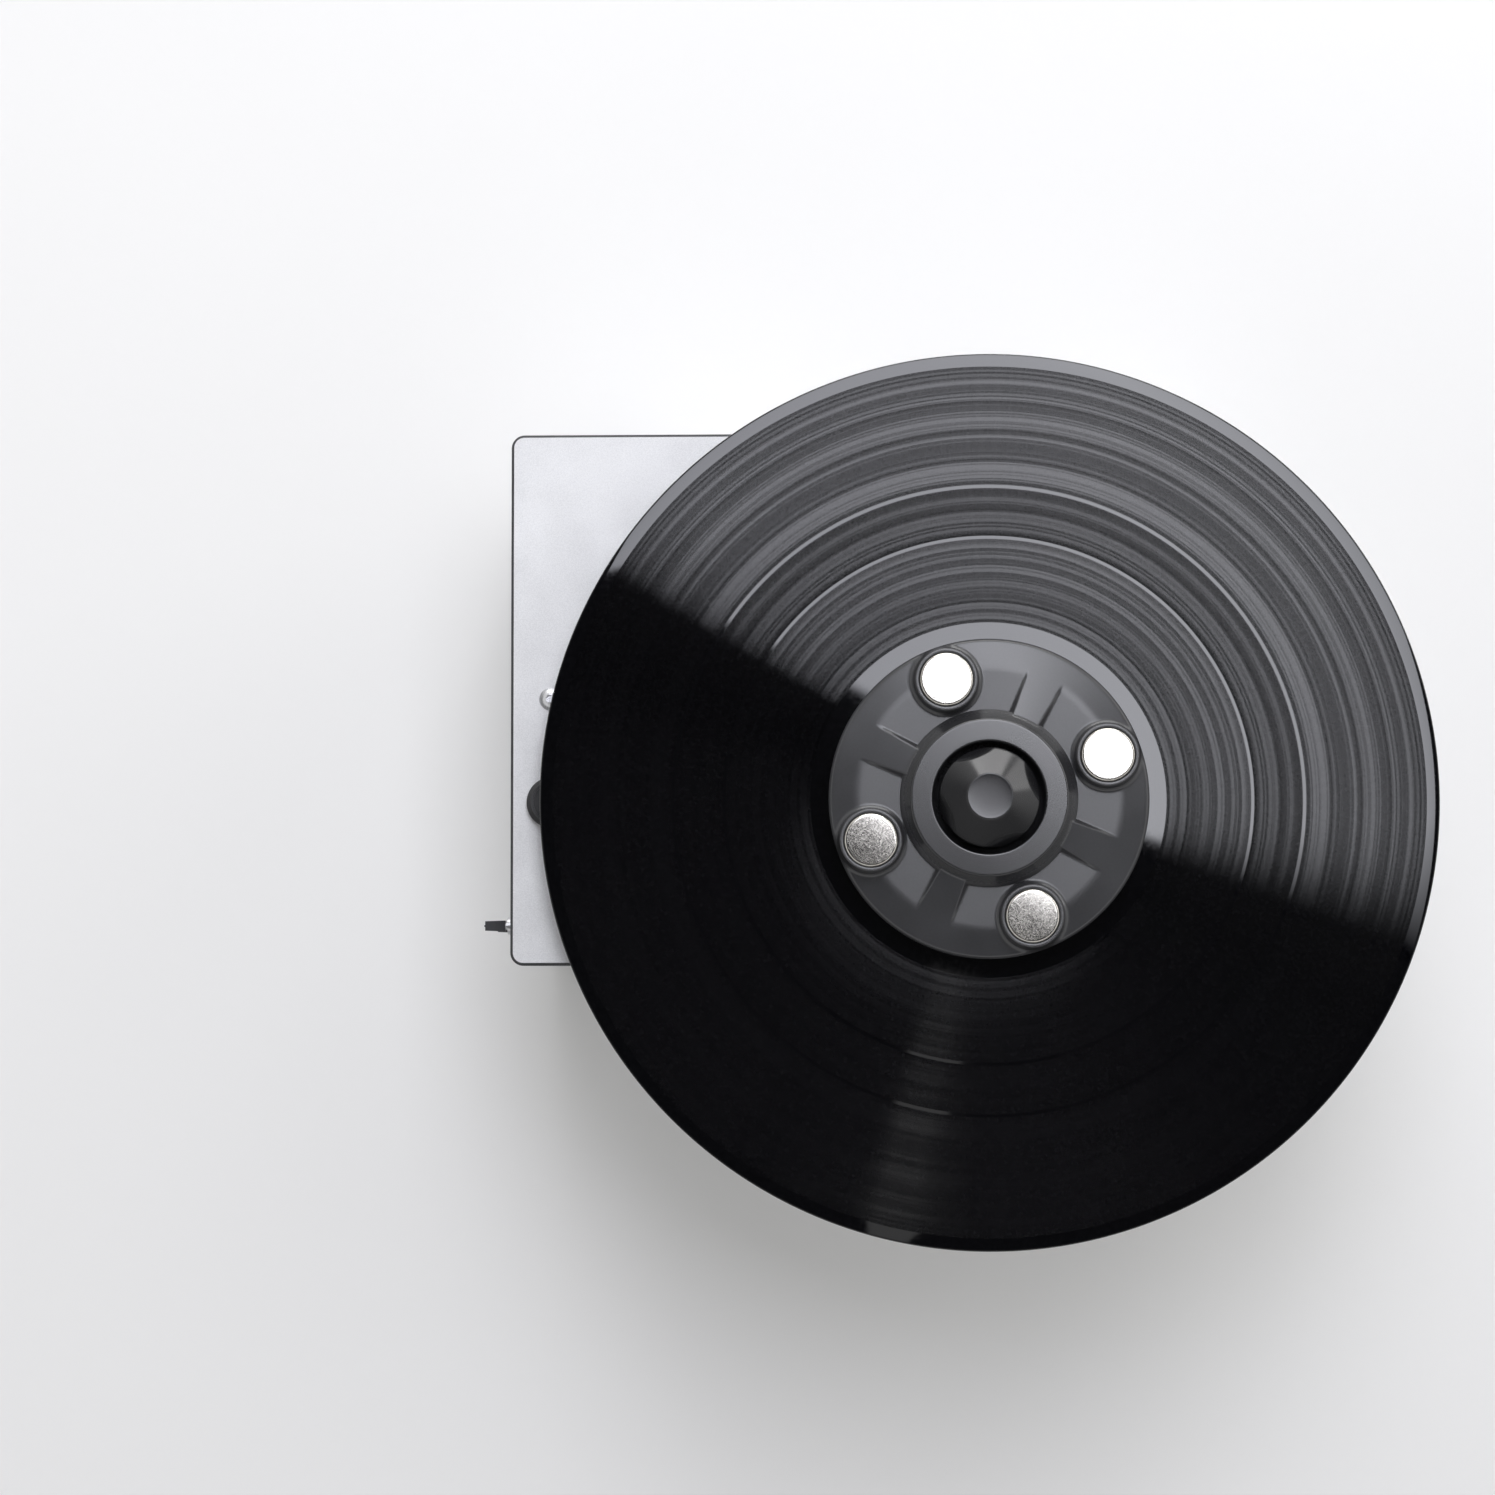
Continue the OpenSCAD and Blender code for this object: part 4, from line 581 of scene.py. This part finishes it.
def ring_copies(name, source, material, count, radius, first_angle):
    """Copies of the source on a ring round the spindle, made by Geometry Nodes and kept as one plain mesh."""
    tree = bpy.data.node_groups.new(name + "_tree", "GeometryNodeTree")
    sockets = tree.interface
    sockets.new_socket("Geometry", in_out="INPUT", socket_type="NodeSocketGeometry")
    count_in = sockets.new_socket("Count", in_out="INPUT", socket_type="NodeSocketInt")
    radius_in = sockets.new_socket("Ring Radius", in_out="INPUT", socket_type="NodeSocketFloat")
    angle_in = sockets.new_socket("First Angle", in_out="INPUT", socket_type="NodeSocketFloat")
    sockets.new_socket("Geometry", in_out="OUTPUT", socket_type="NodeSocketGeometry")
    inputs = tree.nodes.new("NodeGroupInput")
    ring = tree.nodes.new("GeometryNodeMeshCircle")
    tree.links.new(inputs.outputs["Count"], ring.inputs["Vertices"])
    tree.links.new(inputs.outputs["Ring Radius"], ring.inputs["Radius"])
    copies = tree.nodes.new("GeometryNodeInstanceOnPoints")
    tree.links.new(ring.outputs["Mesh"], copies.inputs["Points"])
    tree.links.new(inputs.outputs["Geometry"], copies.inputs["Instance"])
    turn = tree.nodes.new("ShaderNodeCombineXYZ")
    tree.links.new(inputs.outputs["First Angle"], turn.inputs["Z"])
    place = tree.nodes.new("GeometryNodeTransform")
    tree.links.new(copies.outputs["Instances"], place.inputs["Geometry"])
    tree.links.new(turn.outputs[0], place.inputs["Rotation"])
    place.inputs["Translation"].default_value = (*SPINDLE, 0)
    plain = tree.nodes.new("GeometryNodeRealizeInstances")
    tree.links.new(place.outputs["Geometry"], plain.inputs["Geometry"])
    dress = tree.nodes.new("GeometryNodeSetMaterial")
    dress.inputs["Material"].default_value = material
    tree.links.new(plain.outputs["Geometry"], dress.inputs["Geometry"])
    out = tree.nodes.new("NodeGroupOutput")
    tree.links.new(dress.outputs["Geometry"], out.inputs["Geometry"])
    modifier = source.modifiers.new(name, "NODES")
    modifier.node_group = tree
    for socket, value in ((count_in, count), (radius_in, radius), (angle_in, first_angle)):
        modifier[socket.identifier] = value
    evaluated = source.evaluated_get(bpy.context.evaluated_depsgraph_get())
    mesh = bpy.data.meshes.new_from_object(evaluated)
    mesh.name = name
    source.modifiers.remove(modifier)
    bpy.data.objects.remove(source)
    obj = bpy.data.objects.new(name, mesh)
    bpy.context.scene.collection.objects.link(obj)
    return obj


collar_section = ([(9.05, 16.3)] + arc(9.35, 16.35, 0.3, 180, 90, 4) + arc(10.0, 16.2, 0.45, 90, 20, 5)
                  + [(10.75, 13.5), (11.25, 10.2), (11.6, 9.2), (9.05, 9.2)])
magnet_section = ([(0.001, 17.3), (7.6, 17.3)] + arc(8.05, 16.42, 0.88, 98, 0, 7)
                  + [(8.93, 11.4), (0.001, 11.4)])
one_collar = lathe("one_collar", collar_section, [clamp_black], (0, 0), RECORD_TOP, 96)
collars = ring_copies("magnet_collars", one_collar, clamp_black, 4, MAGNET_RING * MM, MAGNET_ANGLE)
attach(collars, "clamp")
one_magnet = lathe("one_magnet", magnet_section, [nickel], (0, 0), RECORD_TOP, 96, sharp=30)
magnets = ring_copies("magnet_faces", one_magnet, nickel, 4, MAGNET_RING * MM, MAGNET_ANGLE)
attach(magnets, "clamp")
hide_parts("clamp_magnets")


# Knob: a cone with a dished flat and four hollows in line with the magnets

KNOB_R, KNOB_H, KNOB_EDGE_H, KNOB_FOOT_H = 16.55, 26.5, 19.5, 6.1
FLAT_R, DISH_DEPTH = 7.5, 0.22
CUT_R, CUT_NEAR, CUT_FALL = 20.6, 13.6, 1.3
EDGE_WIDE, EDGE_DROP = 0.5, 0.45


def knob_relief(r, a):
    """Height of the knob's top in millimetres above the record."""
    cone = KNOB_EDGE_H + (KNOB_R - r) * (KNOB_H - KNOB_EDGE_H) / (KNOB_R - FLAT_R)
    face = KNOB_H - DISH_DEPTH * np.clip(1 - (r / FLAT_R) ** 2, 0, 1) ** 0.5
    angle = off_nearest(a, MAGNET_ANGLE)
    into_cut = CUT_R - np.hypot(r * np.cos(angle) - CUT_NEAR - CUT_R, r * np.sin(angle))
    top = soft_min(soft_min(cone, face, 0.25), cone - into_cut * CUT_FALL, 0.12)
    return top - rounded(np.clip((r - KNOB_R + EDGE_WIDE) / EDGE_WIDE, 0, 1), EDGE_DROP)


knob_radii = graded((0.01, 6.6, 6), (6.6, 8.2, 10), (8.2, 12.6, 12), (12.6, 16.0, 18), (16.0, KNOB_R, 5))
knob = relief_piece(
    "knob_moulded", knob_radii, knob_relief,
    [(KNOB_R, KNOB_FOOT_H), (7.5, KNOB_FOOT_H), (7.5, 1.6), (5.0, 1.6), (5.0, 18.0), (0.01, 18.0)],
    [knob_black], segments=360, sharp=50)
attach(knob, "knob")
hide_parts("clamp_knob")


# Stage: a pale floor and room, a large softbox overhead and low windows behind

def floor_finish():
    f = Finish("floor_paper", (0.865, 0.86, 0.85), 0.9, specular=0.2)
    where = f.place()
    cloud = f.noise(where, 3, 2.0)
    f.colour_from(f.ramp(cloud, [(0.3, (0.86, 0.855, 0.845)), (0.7, (0.875, 0.87, 0.86))]))
    return f.mat


FLOOR_REACH = 15
floor_corners = [(x * FLOOR_REACH, y * FLOOR_REACH, 0) for x, y in ((-1, -1), (1, -1), (1, 1), (-1, 1))]
floor = make_piece("floor", floor_corners, [(0, 1, 2, 3)], [floor_finish()])


ROOM_BRIGHT_SIDE = (0.5, 0.87, 0.0)
ROOM_BRIGHT, ROOM_DIM = 0.95, 1.0
SIDE_SPAN, HORIZON_SPAN, OVERHEAD_SPAN = (-0.25, 0.55), (0.28, 0.42), (0.6, 0.93)
HORIZON_SHARE, OVERHEAD_SHARE = 0.12, 0.03


def room_world():
    """A pale room, dark overhead, and low down on the side away from ROOM_BRIGHT_SIDE."""
    world = bpy.data.worlds.new("studio_room")
    world.use_nodes = True
    tree = world.node_tree
    background = next(n for n in tree.nodes if n.type == "BACKGROUND")

    def add(kind, **settings):
        node = tree.nodes.new(kind)
        for key, value in settings.items():
            setattr(node, key, value)
        return node

    def spread(value, span, results, way):
        node = add("ShaderNodeMapRange", interpolation_type=way, clamp=True)
        for slot, number in zip(node.inputs[1:5], (*span, *results)):
            slot.default_value = number
        tree.links.new(value, node.inputs[0])
        return node

    coords = add("ShaderNodeTexCoord")
    towards = add("ShaderNodeVectorMath", operation="DOT_PRODUCT")
    towards.inputs[1].default_value = ROOM_BRIGHT_SIDE
    tree.links.new(coords.outputs["Generated"], towards.inputs[0])
    split = add("ShaderNodeSeparateXYZ")
    tree.links.new(coords.outputs["Generated"], split.inputs[0])
    side = spread(towards.outputs["Value"], SIDE_SPAN, (ROOM_DIM, ROOM_BRIGHT), "SMOOTHSTEP")
    horizon = spread(split.outputs["Z"], HORIZON_SPAN, (ROOM_DIM * HORIZON_SHARE, ROOM_DIM), "LINEAR")
    tree.links.new(horizon.outputs[0], side.inputs["To Min"])
    up = spread(split.outputs["Z"], OVERHEAD_SPAN, (1.0, OVERHEAD_SHARE), "SMOOTHSTEP")
    level = add("ShaderNodeMath", operation="MULTIPLY")
    tree.links.new(side.outputs[0], level.inputs[0])
    tree.links.new(up.outputs[0], level.inputs[1])
    tree.links.new(level.outputs[0], background.inputs["Strength"])
    background.inputs["Color"].default_value = (1, 1, 1, 1)
    return world


bpy.context.scene.world = room_world()


# Overhead softbox: its near edge is the line between the bright and the dark half of the record. The edge
# has a corner over CORNER and grows softer to the right of it. Places are in metres from the spindle.
SOFTBOX_Z = RECORD_TOP + 1.9
SOFTBOX_LEFT, SOFTBOX_RIGHT, SOFTBOX_FAR = -0.34, 0.52, 1.7
CORNER = (0.197, 0.051)
LEFT_SLOPE, RIGHT_SLOPE = -0.521, -0.17
EDGE_SOFT, EDGE_SOFTENING = 0.01, 0.45
SOFTBOX_GLOW = 6.9


def softbox_finish():
    f = Finish("softbox_glow", (0, 0, 0), 1.0, specular=0.0)
    split = f.add("ShaderNodeSeparateXYZ")
    f.link(f.place((*SPINDLE, 0)), split.inputs[0])
    x = f.math("SUBTRACT", split.outputs["X"], CORNER[0])
    y = f.math("SUBTRACT", split.outputs["Y"], CORNER[1])
    over_left = f.math("SUBTRACT", y, f.math("MULTIPLY", x, LEFT_SLOPE))
    over_right = f.math("SUBTRACT", y, f.math("MULTIPLY", x, RIGHT_SLOPE))
    softness = f.math("ADD", f.math("MULTIPLY", f.math("MAXIMUM", x, 0.0), EDGE_SOFTENING), EDGE_SOFT)
    left_edge = f.spread(over_left, -EDGE_SOFT / 2, EDGE_SOFT / 2)
    right_edge = f.math("ADD", f.math("DIVIDE", over_right, softness), 0.5)
    edge = f.math("MULTIPLY", left_edge, f.math("MINIMUM", f.math("MAXIMUM", right_edge, 0.0), 1.0))
    fade = f.ramp(f.spread(x, SOFTBOX_LEFT - CORNER[0], SOFTBOX_RIGHT - CORNER[0]), [
        (0.0, (0.64, 0.65, 0.71)), (0.3, (0.82, 0.83, 0.90)),
        (0.62, (0.97, 0.98, 1.05)), (1.0, (0.68, 0.69, 0.74)),
    ])
    f.link(fade, f.shader.inputs["Emission Color"])
    f.link(f.math("MULTIPLY", edge, SOFTBOX_GLOW), f.shader.inputs["Emission Strength"])
    return f.mat


def edge_y(x):
    """Where the softbox's near edge runs, left or right of its corner."""
    return CORNER[1] + (x - CORNER[0]) * (LEFT_SLOPE if x < CORNER[0] else RIGHT_SLOPE)


outline = [(SOFTBOX_LEFT, edge_y(SOFTBOX_LEFT) - 0.01), (CORNER[0], CORNER[1] - 0.02),
           (SOFTBOX_RIGHT, edge_y(SOFTBOX_RIGHT) - 0.09), (SOFTBOX_RIGHT, SOFTBOX_FAR),
           (SOFTBOX_LEFT, SOFTBOX_FAR)]
softbox = make_piece("overhead_softbox", [(SPINDLE[0] + x, SPINDLE[1] + y, SOFTBOX_Z) for x, y in outline],
                     [(4, 3, 2, 1, 0)], [softbox_finish()])
softbox.visible_camera = False


def soft_light(name, place, aim, size, radiance):
    """A rectangular light of the given radiance, turned from place towards aim."""
    lamp = bpy.data.lights.new(name, "AREA")
    lamp.shape = "RECTANGLE"
    lamp.size, lamp.size_y = size
    lamp.energy = radiance * math.pi * size[0] * size[1]
    obj = bpy.data.objects.new(name, lamp)
    bpy.context.scene.collection.objects.link(obj)
    obj.location = place
    obj.rotation_euler = (Vector(aim) - Vector(place)).to_track_quat("-Z", "Y").to_euler()
    obj.visible_camera = False
    return obj


AIM_Z = 0.19
soft_light("window_rear", (0.1, 2.4, 0.90), (0.1, 0.0, AIM_Z), (2.4, 0.42), 7.0)
soft_light("window_right", (2.0, 1.3, 0.88), (0.0, 0.0, AIM_Z), (1.7, 0.45), 3.2)
strip_place = (SPINDLE[0] - 0.015, SPINDLE[1] - 0.24, SOFTBOX_Z)
strip = soft_light("ceiling_strip", strip_place, (0, 0, 0), (0.045, 0.37), 0.7)
strip.rotation_euler = (0, 0, math.radians(-14))

# Camera: place, turn and focal length fitted to the photograph's edges
PHOTO_WIDTH, FOCAL_LENGTH = 1495, 3750
SENSOR_WIDTH = 36
camera_data = bpy.data.cameras.new("camera")
camera_data.sensor_fit = "HORIZONTAL"
camera_data.sensor_width = SENSOR_WIDTH
camera_data.lens = FOCAL_LENGTH / PHOTO_WIDTH * SENSOR_WIDTH
camera_data.clip_end = 60
camera = bpy.data.objects.new("camera", camera_data)
bpy.context.scene.collection.objects.link(camera)
camera.location = (SPINDLE[0] - 0.03862, SPINDLE[1] - 0.05734, RECORD_TOP + 1.25861)
camera.rotation_euler = tuple(math.radians(v) for v in (3.4106, 1.9174, -0.046))
bpy.context.scene.camera = camera
bpy.context.scene.view_settings.view_transform = "Standard"
